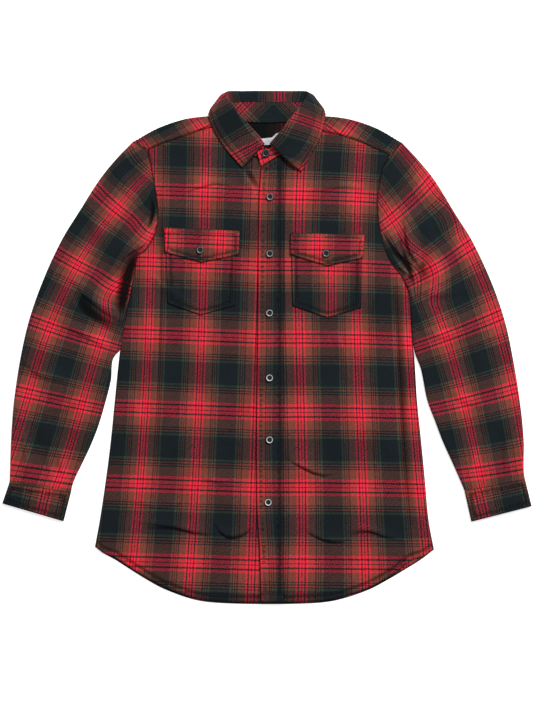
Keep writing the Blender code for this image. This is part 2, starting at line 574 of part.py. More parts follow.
def pressed_tube(name, outer, end, inner, cap, wall_width, top_at, step, shirt):
    """A tube of cloth pressed flat between two folds, outer and inner, open at end and cap.

    outer and inner run from the cap to the end; end and cap run from outer to inner.  The
    cloth is rounded over a narrow strip beside each fold."""
    end, cap = with_near_ends(end), with_near_ends(cap)
    ring = outer + end[1:-1] + inner[::-1] + cap[-2:0:-1]
    folded = set(range(len(outer)))
    folded |= set(range(len(outer) + len(end) - 2, len(outer) + len(end) - 2 + len(inner)))
    if not turns_left(ring):
        ring = ring[::-1]
        folded = {len(ring) - 1 - index for index in folded}
    count = len(ring)
    inward, lines, line = {}, [], []
    for index in sorted(folded):
        before, point, after = ring[index - 1], ring[index], ring[(index + 1) % count]
        starts, stops = (index - 1) % count not in folded, (index + 1) % count not in folded
        along = (point if stops else after) - (point if starts else before)
        inward[index] = Vector((-along.y, along.x)).normalized()
        beside = [point + inward[index] * FOLD_INSET]
        if starts or stops:
            open_point = before if starts else after
            open_side = (open_point - point).normalized()
            if open_side.dot(inward[index]) > 0.8:
                inward[index], beside = open_side, []
            else:
                inward[index] = (inward[index] + open_side).normalized()
                beside.append(point + inward[index] * FOLD_INSET)
            beside.append(open_point)
        line += beside[::-1] if starts else beside
        if stops:
            lines.append(line)
            line = []
    points, parts, origins = triangulate([ring], step, lines=lines)
    place = {source: index for index, sources in enumerate(origins) for source in sources}
    ring_at = {place[index]: index for index in range(count)}

    vertices, top_out, low_out, top_in, low_in = [], {}, {}, {}, {}

    def add(x, y, z):
        vertices.append((x, y, z))
        return len(vertices) - 1

    for index in sorted({i for triangle in parts[0] for i in triangle}):
        p = points[index]
        top = top_at(p.x, p.y)
        if ring_at.get(index, -1) in folded:
            q = p + inward[ring_at[index]] * wall_width
            top_out[index] = low_out[index] = add(p.x, p.y, top / 2)
            top_in[index] = low_in[index] = add(q.x, q.y, top / 2)
        else:
            top_out[index] = add(p.x, p.y, top)
            low_out[index] = add(p.x, p.y, 0)
            top_in[index] = add(p.x, p.y, top - wall_width)
            low_in[index] = add(p.x, p.y, wall_width)
    faces = []
    for a, b, c in parts[0]:
        faces += [(top_out[a], top_out[b], top_out[c]), (low_out[c], low_out[b], low_out[a]),
                  (top_in[c], top_in[b], top_in[a]), (low_in[a], low_in[b], low_in[c])]
    for index in range(count):
        if index in folded and (index + 1) % count in folded:
            continue
        a, b = place[index], place[(index + 1) % count]
        faces += [(top_out[b], top_out[a], top_in[a], top_in[b]),
                  (low_out[a], low_out[b], low_in[b], low_in[a])]
    return add_object(name, vertices, faces, FLANNEL, shirt)


def sleeve_top(x, y):
    """The top of a sleeve, level with the front at the armhole."""
    return FRONT_LOW + CLOTH + ridges_at(SLEEVE_RIDGES, x, y)


def build_sleeves(shirt):
    for side, outer, inner, cuff in (("right", OUTER_RIGHT, INNER_RIGHT, CUFF_RIGHT),
                                     ("left", OUTER_LEFT, INNER_LEFT, CUFF_LEFT)):
        way = -1 if side == "right" else 1
        cap = offset(armhole(side), way * STITCH_IN)
        outer_line = smooth(outer)
        inner_line = offset(smooth(inner), way * SIDE_AIR)
        seam_out, hem_out, hem_in, seam_in = (Vector(row) for row in cuff)
        back_off = (seam_out - hem_out).normalized() * GAP
        cap[0] = cap[0] + (outer_line[1] - outer_line[0]).normalized() * SHOULDER_AIR
        outer_line[0], outer_line[-1] = cap[0], seam_out + back_off
        inner_line[0], inner_line[-1] = cap[-1], seam_in + back_off
        pressed_tube("sleeve_" + side, outer_line, straight(outer_line[-1], inner_line[-1]),
                     inner_line, cap, CLOTH, sleeve_top, PANEL_STEP, shirt)
        pressed_tube("cuff_" + side, straight(seam_out, hem_out), straight(hem_out, hem_in),
                     straight(seam_in, hem_in), straight(seam_out, seam_in), CUFF_WALL,
                     lambda x, y: CUFF_HEIGHT, PANEL_STEP, shirt)


# ---------------------------------------------------------------- the collar

def mirrored(row):
    """A row of the fall or the stand on the other side of the neck."""
    flips = {name: -getattr(row, name) for name in row._fields if name.endswith("x")}
    return row._replace(**flips)


def round_the_neck(front_right, back, front_left):
    """Rows from the right front end round the back to the left one."""
    return (list(front_right) + list(back) + [mirrored(row) for row in back[-2::-1]]
            + list(front_left[::-1]))


def fall_sections():
    """Control points of each section of the fall: seam, three at the fold, leaf and edge."""
    rows = round_the_neck(FALL_FRONT_RIGHT, FALL_BACK, FALL_FRONT_LEFT)
    up = Vector((0, 0, 1))
    sections = []
    for index, row in enumerate(rows):
        before, after = rows[max(index - 1, 0)], rows[min(index + 1, len(rows) - 1)]
        along = Vector((after.crest_x - before.crest_x, after.crest_y - before.crest_y, 0))
        out = up.cross(along.normalized())
        roll = math.radians(row.roll)
        lean = up * math.cos(roll) + out * math.sin(roll)
        reach = -out * math.cos(roll) + up * math.sin(roll)
        crest = Vector((row.crest_x, row.crest_y, row.crest_z))
        stand_side = crest - (reach + lean) * ROLL_RADIUS
        leaf_side = crest - (reach - lean) * ROLL_RADIUS
        sections.append([Vector((row.seam_x, row.seam_y, row.seam_z)), stand_side, crest, leaf_side,
                         Vector((row.leaf_x, row.leaf_y, row.leaf_z)),
                         Vector((row.edge_x, row.edge_y, row.edge_z))])
    return sections


def dense_rows(sections):
    """The sections with one more between each two."""
    lines = [curve_through(list(line), (2,) * (len(sections) - 1)) for line in zip(*sections)]
    return [list(row) for row in zip(*lines)]


def stand_section(low, top):
    """A section of the stand, from just above its lower seam to its top."""
    start = low + (top - low).normalized() * NECK_AIR
    return [start.lerp(top, step / 3) for step in range(4)]


def build_collar(shirt):
    sections = fall_sections()
    fall = dense_rows([curve_through(section, FALL_COUNTS) for section in sections])
    lofted("collar", fall, FALL_WALL, FLANNEL, shirt)

    stand = []
    necks = round_the_neck(STAND_FRONT_RIGHT, STAND_BACK, STAND_FRONT_LEFT)
    for neck, section in zip(necks, sections):
        low, seam, stand_side = Vector(neck), section[0], section[1]
        reach = (seam - low).normalized()
        short = 2 * GAP + FALL_WALL * math.tan(reach.angle(stand_side - seam) / 2)
        stand.append(stand_section(low, seam - reach * short))
    right, left = STAND_TAB_RIGHT, STAND_TAB_LEFT
    stand = ([stand_section(Vector(right[:3]), Vector(right[3:]))] + dense_rows(stand)
             + [stand_section(Vector(left[:3]), Vector(left[3:]))])
    lofted("collar_stand", stand, STAND_WALL, FLANNEL, shirt)


# ---------------------------------------------------------------- buttons

def build_button(name, x, y, z, tilt, shirt):
    """A turned button with a dished middle; tilt is the slope of its seat along x and y."""
    points, faces = [], []
    for turn in BUTTON_PROFILE:
        for side in range(BUTTON_SIDES):
            angle = 2 * math.pi * side / BUTTON_SIDES
            dx, dy = turn.radius * math.cos(angle), turn.radius * math.sin(angle)
            points.append((x + dx, y + dy, z + turn.height + dx * tilt[0] + dy * tilt[1]))
    for ring in range(len(BUTTON_PROFILE) - 1):
        for side in range(BUTTON_SIDES):
            a = ring * BUTTON_SIDES + side
            b = ring * BUTTON_SIDES + (side + 1) % BUTTON_SIDES
            faces.append((a, b, b + BUTTON_SIDES, a + BUTTON_SIDES))
    last = (len(BUTTON_PROFILE) - 1) * BUTTON_SIDES
    faces.append(tuple(range(BUTTON_SIDES - 1, -1, -1)))
    faces.append(tuple(range(last, last + BUTTON_SIDES)))
    add_object(name, points, faces, BUTTON_RESIN, shirt)


def build_buttons(shirt):
    for number, spot in enumerate(BUTTONS_FRONT, 1):
        seat = front_low(spot.x, spot.y) + LAP_LIFT + 2 * CLOTH + 2 * GAP
        build_button("button_front_%d" % number, spot.x, spot.y, seat, (0, 0), shirt)
    for name, spot, flap in (("right", BUTTON_FLAP_RIGHT, FLAP_RIGHT),
                             ("left", BUTTON_FLAP_LEFT, FLAP_LEFT)):
        seat = flap_low(flap)(spot.x, spot.y) + FLAP_WALL + GAP
        build_button("button_flap_" + name, spot.x, spot.y, seat, (0, 0), shirt)
    low, high = Vector(STAND_TAB_LEFT[:3]), Vector(STAND_TAB_LEFT[3:])
    slope = (high.z - low.z) / (high.y - low.y)
    seat = low.z + slope * (BUTTON_STAND.y - low.y) + STAND_WALL / 2 + 2 * GAP
    build_button("button_stand", BUTTON_STAND.x, BUTTON_STAND.y, seat, (0.04, slope), shirt)


def build_shirt():
    for old in list(bpy.data.objects):
        bpy.data.objects.remove(old, do_unlink=True)
    shirt = bpy.data.objects.new("shirt", None)
    bpy.context.collection.objects.link(shirt)
    build_back(shirt)
    build_yoke(shirt)
    build_linings(shirt)
    build_fronts(shirt)
    build_sleeves(shirt)
    build_collar(shirt)
    build_buttons(shirt)


build_shirt()
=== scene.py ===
"""A flannel shirt laid flat: cloth shells, plaid, stitching and turned buttons on the CAD frame.

Lengths in the tables are millimetres, x towards the wearer's left, y towards the collar and z up
from the surface that the shirt lies on.  Right and left are the wearer's.
"""

import math
from collections import namedtuple

import bpy
import numpy as np
from bpy.props import FloatProperty, IntProperty, PointerProperty, StringProperty
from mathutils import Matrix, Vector
from mathutils.bvhtree import BVHTree
from mathutils.geometry import delaunay_2d_cdt
from mathutils.kdtree import KDTree


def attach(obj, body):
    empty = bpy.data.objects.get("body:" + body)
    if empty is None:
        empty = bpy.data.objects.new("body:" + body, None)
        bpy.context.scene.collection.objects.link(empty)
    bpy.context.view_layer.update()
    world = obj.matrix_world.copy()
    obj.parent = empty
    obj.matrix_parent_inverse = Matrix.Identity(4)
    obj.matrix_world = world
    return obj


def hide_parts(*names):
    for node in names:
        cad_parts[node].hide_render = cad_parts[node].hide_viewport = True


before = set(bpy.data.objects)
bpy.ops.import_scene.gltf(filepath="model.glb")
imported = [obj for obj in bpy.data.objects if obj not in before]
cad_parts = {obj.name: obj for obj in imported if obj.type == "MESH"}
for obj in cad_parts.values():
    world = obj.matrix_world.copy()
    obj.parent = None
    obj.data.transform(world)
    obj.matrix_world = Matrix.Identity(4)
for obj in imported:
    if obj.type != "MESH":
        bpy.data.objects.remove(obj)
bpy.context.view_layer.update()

bl_info = {
    "name": "Flannel shirt",
    "version": (1, 0, 0),
    "blender": (4, 5, 0),
    "location": "3D View > Sidebar > Shirt",
    "description": "Dresses the shirt's frame in flannel, thread and buttons",
    "category": "Object",
}

MM = 0.001
BODY = "root"

# ------ sizes of the pieces, mm

CLOTH = 1.2             # one layer of brushed flannel
GAP = 0.3               # air between pieces that meet
LINING = 1.0            # inner yoke
CUFF_WALL = 1.6
STAND_WALL = 1.4
FALL_WALL = 1.6
FLAP_WALL = 1.6
LABEL_WALL = 0.8
BACK_YOKE_Y = 292.0     # seam between back and back yoke
FRONT_LOW = CLOTH + GAP + LINING + GAP      # underside of a front
LAP_LIFT = CLOTH + GAP                      # the left front lies on the right one
LAP_START, LAP_END = 28.0, 42.0             # x where that lift begins to fall, and ends
SIDE_RAMP = 14.0        # the fronts come down to the back over this width at the side seams
CUFF_HEIGHT = 4.8
ROLL_RADIUS = 2.1       # radius of the collar's fold
FLAP_DROP = 8.0         # a pocket starts this far below its flap's top edge
SEAM_AIR = 0.04         # a sleeve is sewn this close to the body
SIDE_AIR = 0.12         # and lies this far off the side seam below the armpit
BACK_SPREAD = 0.5       # the back's side edges reach this far under the sleeves
FRONT_HEM_RISE = 4.0    # the fronts end this far inside the back's hem
HEM_SHOWS_MORE = 5.5    # and this much further round HEM_SHOWS_X
HEM_SHOWS_X, HEM_SHOWS_REACH = 238.0, 20.0
SLEEVE_FOLD, CUFF_FOLD = 3.6, 3.0   # width over which a sleeve and a cuff turn over at their folds
YOKE_STITCH = 2.2       # topstitching's distance from the yoke's front seams
SEAM_ROWS = (0.8, 1.8, 4.0)         # rows of points this far from a seam draw its edge
PILLOW, PILLOW_REACH = 0.5, 0.62    # fullness inside a stitched edge, and its share of the width
GROOVE, GROOVE_REACH = 0.6, 2.4     # the groove along the stitches, its depth and reach
HEM_GROOVE, HEM_GROOVE_REACH = 0.45, 3.2
HEM_PUCKER, HEM_PUCKER_REACH = 0.40, 26.0   # height and reach of the puckers along the hem
LABEL_STEP = 2.0        # spacing of the points in the label
SHARP_ANGLE = 55        # edges sharper than this many degrees aren't shaded smooth


def both_sides(half):
    """An outline's points from one side to the other, from those of its left half."""
    return tuple((-x, y) for x, y in half[:0:-1]) + half


# Outlines: rows of x, y
ARMHOLE_RIGHT = (
    (-221.6, 339.7), (-197.6, 326.2), (-190.2, BACK_YOKE_Y), (-184.8, 264.8), (-180.3, 229.2),
    (-180.6, 205.4), (-187.8, 182.3), (-199.7, 161.5), (-214.5, 151.0))
ARMHOLE_LEFT = (
    (223.0, 338.3), (202.6, 317.8), (190.0, BACK_YOKE_Y), (184.5, 264.0), (182.2, 240.0),
    (183.8, 212.0), (189.0, 184.0), (196.0, 159.0), (206.0, 138.0), (221.1, 118.5))
SIDE_RIGHT = (
    (-214.5, 151.0), (-220.6, 115.0), (-225.0, 93.0), (-233.0, 52.0), (-242.5, -7.0), (-250.8, -86.6),
    (-257.4, -152.6), (-265.7, -218.6), (-275.6, -284.6), (-283.8, -329.2))
SIDE_LEFT = (
    (221.1, 118.5), (228.5, 104.0), (234.3, 88.0), (239.1, 19.0), (243.4, -20.0), (247.5, -86.6),
    (254.1, -152.6), (260.5, -218.6), (266.5, -284.6), (275.6, -334.0))
HEM = (
    (-283.8, -329.2), (-272.0, -339.1), (-250.8, -350.6), (-227.7, -365.5), (-201.3, -382.0),
    (-169.9, -399.0), (-123.8, -415.6), (-85.8, -421.6), (0.0, -424.0), (80.9, -422.1), (118.8, -416.6),
    (168.3, -400.1), (199.7, -383.6), (227.7, -367.1), (254.1, -350.6), (275.6, -334.0))
SHOULDER = (ARMHOLE_RIGHT[:1]
            + both_sides(((0.0, 381.6), (77.5, 381.6), (96.5, 382.0), (110.5, 381.1), (128.7, 378.7),
                          (143.5, 375.4), (165.8, 368.3), (188.1, 358.9)))
            + ARMHOLE_LEFT[:1])
YOKE_SEAM_RIGHT = (
    (-70.5, 366.0), (-92.4, 363.0), (-110.6, 358.9), (-127.0, 353.1), (-151.8, 344.0), (-173.3, 336.8),
    (-197.6, 326.2))
YOKE_SEAM_LEFT = (
    (73.0, 363.5), (92.0, 357.0), (118.8, 351.5), (137.0, 345.7), (156.8, 338.3), (179.9, 327.9),
    (202.6, 317.8))
NECK_BACK = both_sides(((0.0, 372.8), (26.0, 373.6), (43.0, 375.4), (60.0, 377.0), (76.0, 379.0)))
NECK_RIGHT = (
    (28.0, 305.0), (14.0, 313.8), (3.0, 312.6), (-22.0, 314.8), (-43.8, 331.2), (-60.8, 351.4),
    (-70.5, 366.0))
NECK_LEFT = ((-9.9, 297.0), (4.9, 306.9), (20.5, 315.8), (41.8, 328.4), (60.0, 346.6), (73.0, 363.5))
PLACKET_EDGE = (
    (-9.9, 297.0), (-13.0, 251.6), (-14.4, 177.4), (-15.5, 19.0), (-17.3, -119.6), (-17.3, -218.6),
    (-16.5, -269.8), (-12.5, -332.5), (-9.9, -419.8))
PLACKET_STITCH_X = 28.0         # right edge of the placket
UNDER_EDGE_X = 28.0             # right edge of the front that lies under it
INNER_YOKE = (
    (-184.0, 294.0), (184.0, 294.0), (190.0, 322.0), (196.0, 338.0), (160.0, 360.0), (120.0, 373.0),
    (80.0, 376.0), (43.0, 374.4), (26.0, 372.6), (0.0, 371.8), (-26.0, 372.6), (-43.0, 374.4),
    (-80.0, 376.0), (-120.0, 373.0), (-160.0, 360.0), (-196.0, 338.0), (-190.0, 322.0))
LABEL = ((-12.0, 334.0), (20.0, 335.0), (22.5, 355.0), (15.0, 353.0), (8.0, 346.5), (-12.5, 344.5))

FLAP_RIGHT = ((-169.5, 197.8), (-168.6, 157.0), (-108.6, 139.8), (-45.4, 152.8), (-44.7, 192.7))
FLAP_LEFT = ((38.4, 188.9), (38.4, 153.0), (99.7, 134.0), (158.6, 147.5), (160.9, 186.4))
POCKET_RIGHT = ((-166.6, 0.0), (-164.7, 72.8), (-109.9, 53.3), (-52.3, 69.0), (-50.5, 0.0))
POCKET_LEFT = ((39.6, 0.0), (41.6, 68.5), (99.7, 48.8), (155.8, 65.2), (156.4, 0.0))
POCKETS = {"right": (FLAP_RIGHT, POCKET_RIGHT), "left": (FLAP_LEFT, POCKET_LEFT)}

# Sleeves: outer edge from the shoulder point, inner edge from the armpit, both to the cuff seam
OUTER_RIGHT = (
    (-221.6, 339.7), (-250.8, 309.4), (-277.2, 276.4), (-308.6, 227.0), (-339.1, 177.4),
    (-369.6, 111.4), (-392.7, 45.4), (-407.6, -20.6), (-417.5, -86.6), (-421.6, -136.1),
    (-423.8, -185.6), (-424.9, -223.6))
INNER_RIGHT = SIDE_RIGHT[:4] + (
    (-242.2, -4.0), (-247.5, -9.5), (-253.6, -18.0), (-256.0, -30.0), (-257.4, -53.6),
    (-269.0, -99.2), (-280.0, -134.5), (-292.7, -165.8), (-306.1, -193.9), (-319.3, -222.0),
    (-323.4, -238.4))
OUTER_LEFT = (
    (223.0, 338.3), (250.8, 308.5), (277.2, 275.6), (312.0, 219.0), (338.3, 177.4), (369.6, 110.6),
    (392.7, 44.6), (406.7, -20.6), (417.4, -86.6), (424.1, -152.6), (424.1, -200.5), (425.7, -217.0))
INNER_LEFT = SIDE_LEFT[:4] + (
    (243.4, -7.4), (254.0, -36.0), (264.3, -86.6), (277.2, -121.3), (290.4, -155.9),
    (306.9, -192.2), (318.5, -218.6), (325.9, -236.0))
CUFF_RIGHT = ((-425.7, -223.6), (-437.2, -257.4), (-335.8, -287.0), (-323.6, -239.0))
CUFF_LEFT = ((426.2, -217.0), (437.2, -262.0), (337.4, -287.6), (326.0, -236.6))

# The collar fall, a row for each section from the front end round to the middle of the back.
# seam: where it joins the stand.  crest: the fold, and how far the fold has rolled over,
# 0 with the leaf above the stand and 180 with the leaf under it.  leaf, edge: the leaf's
# middle or its turn round the neck side, and its free edge.
Fall = namedtuple("Fall", "seam_x seam_y seam_z crest_x crest_y crest_z roll "
                          "leaf_x leaf_y leaf_z edge_x edge_y edge_z")
FALL_FRONT_RIGHT = (
    Fall(-4.6, 330.2, 6.9, -4.0, 334.8, 10.4, 0, -26.9, 309.4, 8.6, -40.8, 296.8, 5.3),
    Fall(-15.1, 340.4, 7.5, -13.2, 347.3, 12.0, 0, -37.0, 324.0, 9.0, -52.0, 309.4, 5.35),
    Fall(-32.0, 357.4, 9.0, -28.9, 364.6, 13.5, 0, -53.5, 341.5, 9.5, -68.5, 328.3, 5.35),
    Fall(-47.3, 374.4, 10.0, -43.7, 381.1, 14.5, 0, -68.5, 362.5, 10.0, -83.3, 350.8, 5.35),
    Fall(-58.0, 388.8, 10.0, -54.4, 395.2, 14.5, 0, -79.5, 381.5, 10.2, -93.2, 371.5, 5.4),
)
FALL_FRONT_LEFT = (
    Fall(3.6, 328.2, 8.8, 4.4, 334.2, 12.0, 0, 37.0, 304.2, 10.0, 57.3, 290.1, 5.6),
    Fall(19.2, 343.5, 9.2, 17.8, 350.6, 13.2, 0, 47.5, 322.0, 9.6, 66.8, 306.9, 5.45),
    Fall(34.1, 359.2, 9.6, 31.3, 367.1, 13.8, 0, 60.5, 342.0, 9.6, 78.4, 326.7, 5.35),
    Fall(46.8, 374.3, 10.0, 42.9, 381.6, 14.5, 0, 71.0, 360.0, 10.0, 87.2, 344.5, 5.35),
    Fall(57.5, 389.1, 10.0, 53.5, 396.0, 14.5, 0, 80.0, 380.0, 10.2, 93.6, 368.0, 5.4),
)
FALL_BACK = (
    Fall(-62.3, 395.5, 9.9, -58.8, 401.5, 14.0, 12, -86.5, 387.0, 9.2, -96.6, 384.6, 5.1),
    Fall(-65.4, 399.7, 9.7, -62.6, 407.5, 13.0, 30, -94.2, 391.5, 5.4, -95.0, 387.2, 2.6),
    Fall(-66.6, 402.4, 7.6, -66.6, 415.6, 10.2, 65, -84.4, 405.4, 4.4, -82.0, 386.0, 0.9),
    Fall(-61.5, 404.4, 5.2, -66.0, 421.1, 6.4, 120, -74.4, 416.5, 2.3, -70.5, 384.5, 0.8),
    Fall(-51.0, 404.9, 5.0, -56.0, 422.9, 3.6, 165, -58.0, 414.0, 0.8, -57.0, 382.0, 0.8),
    Fall(-30.0, 405.1, 5.0, -30.0, 423.2, 2.9, 180, -30.0, 414.0, 0.8, -30.0, 379.0, 0.8),
    Fall(0.0, 405.1, 5.0, 0.0, 423.2, 2.9, 180, 0.0, 414.0, 0.8, 0.0, 378.4, 0.8),
)

# The stand's lower edge, a row for each of those sections, and each end past the front
Neck = namedtuple("Neck", "x y z")
STAND_FRONT_RIGHT = (
    Neck(3.0, 313.4, 3.4), Neck(-22.0, 315.8, 3.4), Neck(-43.0, 332.0, 3.4), Neck(-60.0, 352.0, 3.7),
    Neck(-69.3, 368.3, 4.6))
STAND_FRONT_LEFT = (
    Neck(4.9, 307.7, 5.7), Neck(24.0, 318.6, 5.4), Neck(44.0, 331.2, 4.2), Neck(60.5, 348.6, 3.8),
    Neck(71.0, 364.8, 4.6))
STAND_BACK = (
    Neck(-72.4, 375.5, 5.4), Neck(-73.6, 379.2, 5.5), Neck(-72.6, 382.2, 4.5), Neck(-67.5, 382.3, 3.2),
    Neck(-56.0, 379.8, 3.1), Neck(-30.0, 376.0, 3.1), Neck(0.0, 374.8, 3.1))
Tab = namedtuple("Tab", "low_x low_y low_z top_x top_y top_z")
STAND_TAB_RIGHT = Tab(14.0, 315.8, 3.4, 13.2, 321.6, 4.5)
STAND_TAB_LEFT = Tab(-9.9, 297.8, 5.6, -16.2, 323.6, 8.3)
FALL_COUNTS = (4, 5, 5, 8, 8)       # steps between the control points of a section of the fall
STAND_STEPS = 8                     # steps up the stand
# How far above its seam line each of the stand's sections starts.  At the back of the neck it
# laps over the yokes' edges instead.
STAND_AIR = (0.8,) * len(STAND_FRONT_RIGHT)
STAND_BACK_AIR = (0.8, 0.8, 0.0, -2.2, -3.2, -3.4, -3.4)
STAND_RISE = 0.15                   # and it rises by this share of its lap to clear them
ROW_STEPS = 5                       # rows of the fall and the stand between two sections
EDGE_DISTANCES = (0.0, 0.35, 1.0, 2.2, 3.6, 5.2, 6.4, 7.8)      # rows near the collar's free edge
STITCH_COLUMN = 6                   # the topstitching's row among them
COLLAR_COLUMNS = 26                 # points from the last of them to the seam
FAR_IN = 99.0                       # stands for any distance beyond them
END_ROW_STEP = 2.6                  # about how far apart the rows are at the collar's front ends
STAND_STITCH = both_sides(((0.0, 376.4), (30.0, 377.6), (47.0, 379.6)))

# ------ folds in the cloth, mm

# A fold runs through its points, falls off over left and right of the way it runs, and is as
# high as height in its middle.  A trough has a negative height.
Fold = namedtuple("Fold", "left right height points")
FOLD_STEP = 13.0        # a fold's curve has a point about this often; narrower slopes get rows
DEEPEST_BODY, DEEPEST_SLEEVE = -0.9, -2.0   # no trough is deeper than this
DARKEST_TROUGH = 3.6    # a trough this deep has the darkest painted shade
SHADE_REACH = 1.5        # painted shade along an edge or a line of stitches reaches this far
# how dark that painted shade is at an edge and along its stitches
EDGE_SHADE, STITCH_SHADE = 0.8, 0.75
WAVES = 14              # waves that add up to the cloth's unevenness
BODY_FOLDS = (
    Fold(13, 20, 2.4, ((-164, 230), (-170, 60), (-176, -120), (-182, -220))),
    Fold(3.5, 6, -2.2, ((-175, 262), (-175, 100), (-179, -60), (-184, -214))),
    Fold(22, 28, 2.1, ((-100, 30), (-88, -130), (-92, -260))),
    Fold(28, 30, 2.6, ((112, 30), (118, -120), (128, -280))),
    Fold(32, 34, 2.3, ((188, 60), (196, -90), (206, -255))),
    Fold(11, 8, -1.5, ((212, 110), (215, 70), (220, -60), (228, -200), (238, -290))),
    Fold(10, 3.5, 2.9, ((-212, -287), (-176, -292), (-150, -295), (-123, -303), (-92, -306))),
    Fold(10, 3.5, 3.1, ((-88, -286), (-78, -302), (-68, -310), (-44, -308), (-24, -294))),
    Fold(3, 3, -1.6, ((-204, -298), (-150, -300), (-122, -307), (-96, -310))),
    Fold(3, 3, -1.6, ((-84, -294), (-76, -307), (-64, -315), (-44, -313), (-26, -300))),
    Fold(3, 3, -1.4, ((66, -306), (92, -319), (122, -323), (136, -317))),
    Fold(3, 3, -1.3, ((134, -309), (168, -305), (190, -313), (212, -318))),
    Fold(3, 3, -1.3, ((36, -187), (64, -203), (92, -213), (112, -211))),
    Fold(3, 3, -1.1, ((-134, 253), (-118, 259), (-84, 267), (-54, 263))),
    Fold(12, 4, 2.6, ((62, -300), (92, -314), (122, -318), (134, -312))),
    Fold(10, 4, 2.3, ((130, -303), (168, -300), (190, -308), (214, -314))),
    Fold(9, 4, 2.6, ((34, -182), (64, -198), (92, -208), (112, -206))),
    Fold(28, 30, 1.8, ((-142, 282), (-60, 240))),
    Fold(9, 4, 2.0, ((-136, 258), (-118, 264), (-84, 272), (-52, 268))),
    Fold(9, 4, 2.0, ((64, 258), (92, 262), (132, 266), (170, 258))),
    Fold(5, 9, -1.3, ((-36, 298), (-25, 281), (-14, 262))),
    Fold(6, 12, 1.7, ((-44, 292), (-32, 274), (-22, 256))),
    Fold(8, 14, 2.1, ((-204, 132), (-176, 104), (-130, 74))),
    Fold(10, 12, 1.6, ((-214, 96), (-198, 40), (-196, -20))),
    Fold(14, 8, 2.1, ((208, 116), (182, 76), (172, 20))),
    Fold(18, 18, 1.4, ((-60, 30), (-52, -60), (-60, -150))),
    Fold(16, 20, 1.6, ((52, 20), (60, -70), (56, -150))),
    Fold(4, 14, 1.8, ((112, 28), (128, -10), (136, -56))),
    Fold(14, 16, 1.4, ((-232, -60), (-214, -140), (-222, -240))),
    Fold(9, 4, 1.6, ((-120, -210), (-60, -226), (-30, -222))),
    Fold(9, 4, 1.4, ((-232, -250), (-180, -262), (-130, -254))),
    Fold(14, 14, 1.4, ((170, 292), (160, 252), (166, 214))),
)
SLEEVE_FOLDS = (
    Fold(3, 26, 6.1, ((-184, 186), (-200, 171), (-214, 164), (-230, 154), (-239, 142), (-246, 127),
                      (-251, 108), (-252, 84))),
    Fold(7, 9, -3.8, ((-214, 156), (-226, 130), (-233, 96), (-240, 66))),
    Fold(11, 17, -3.4, ((-217, 150), (-227, 124), (-235, 96), (-242, 50))),
    Fold(4, 5, -2.9, ((-190, 246), (-188, 222), (-196, 194))),
    Fold(16, 7, 5.2, ((-318, 112), (-300, 88), (-285, 76), (-262, 58), (-236, 44))),
    Fold(12, 10, -2.6, ((-320, 94), (-302, 66), (-280, 48), (-250, 30))),
    Fold(12, 8, 3.8, ((-344, 44), (-308, 26), (-278, 10), (-254, -6))),
    Fold(22, 26, 2.6, ((-304, 150), (-322, 100), (-330, 40))),
    Fold(28, 30, 3.2, ((-360, 40), (-362, -20), (-358, -80))),
    Fold(12, 7, 2.9, ((-404, -20), (-372, -44), (-330, -52))),
    Fold(12, 8, 2.6, ((-288, -64), (-320, -92), (-372, -104))),
    Fold(22, 24, 2.6, ((-372, -106), (-362, -150), (-350, -190))),
    Fold(12, 16, 2.3, ((-300, 226), (-280, 196), (-254, 170))),
    Fold(12, 14, 2.0, ((-240, 290), (-232, 262), (-214, 236))),
    Fold(7, 9, 2.3, ((-334, -216), (-340, -190), (-338, -160))),
    Fold(7, 9, 2.3, ((-356, -222), (-360, -192), (-354, -150))),
    Fold(7, 9, 2.2, ((-398, -216), (-396, -188), (-400, -150))),
    Fold(16, 3, 4.6, ((190, 196), (200, 180), (210, 166), (222, 152), (234, 136))),
    Fold(5, 6, -2.6, ((204, 160), (214, 152), (226, 140), (235, 126), (240, 112))),
    Fold(6, 9, -4.6, ((218, 180), (221, 166), (227, 148), (235, 130), (239, 108))),
    Fold(22, 3.5, 6.6, ((228, 208), (230, 186), (234, 166), (243, 148), (254, 134))),
    Fold(13, 4, 4.2, ((206, 146), (216, 134), (230, 124), (242, 118))),
    Fold(18, 20, 4.6, ((262, 204), (270, 176), (276, 140), (284, 100))),
    Fold(12, 14, -2.3, ((252, 170), (256, 140), (262, 110))),
    Fold(24, 28, 2.9, ((300, 110), (310, 60), (322, 0))),
    Fold(14, 10, 2.9, ((250, 96), (282, 88), (330, 96))),
    Fold(9, 12, 2.6, ((248, 36), (280, 22), (330, 26))),
    Fold(26, 28, 2.9, ((340, 40), (352, -20), (354, -80))),
    Fold(20, 24, 2.6, ((372, -106), (364, -150), (352, -190))),
    Fold(12, 16, 2.3, ((300, 232), (284, 206), (262, 190))),
    Fold(12, 14, 1.9, ((244, 300), (238, 262), (222, 236))),
    Fold(10, 12, 2.3, ((290, -60), (322, -84), (372, -96))),
    Fold(7, 9, 2.3, ((334, -212), (340, -186), (336, -156))),
    Fold(7, 9, 2.3, ((358, -218), (362, -188), (356, -146))),
    Fold(7, 9, 2.2, ((398, -212), (394, -184), (398, -146))),
)

# ------ the plaid

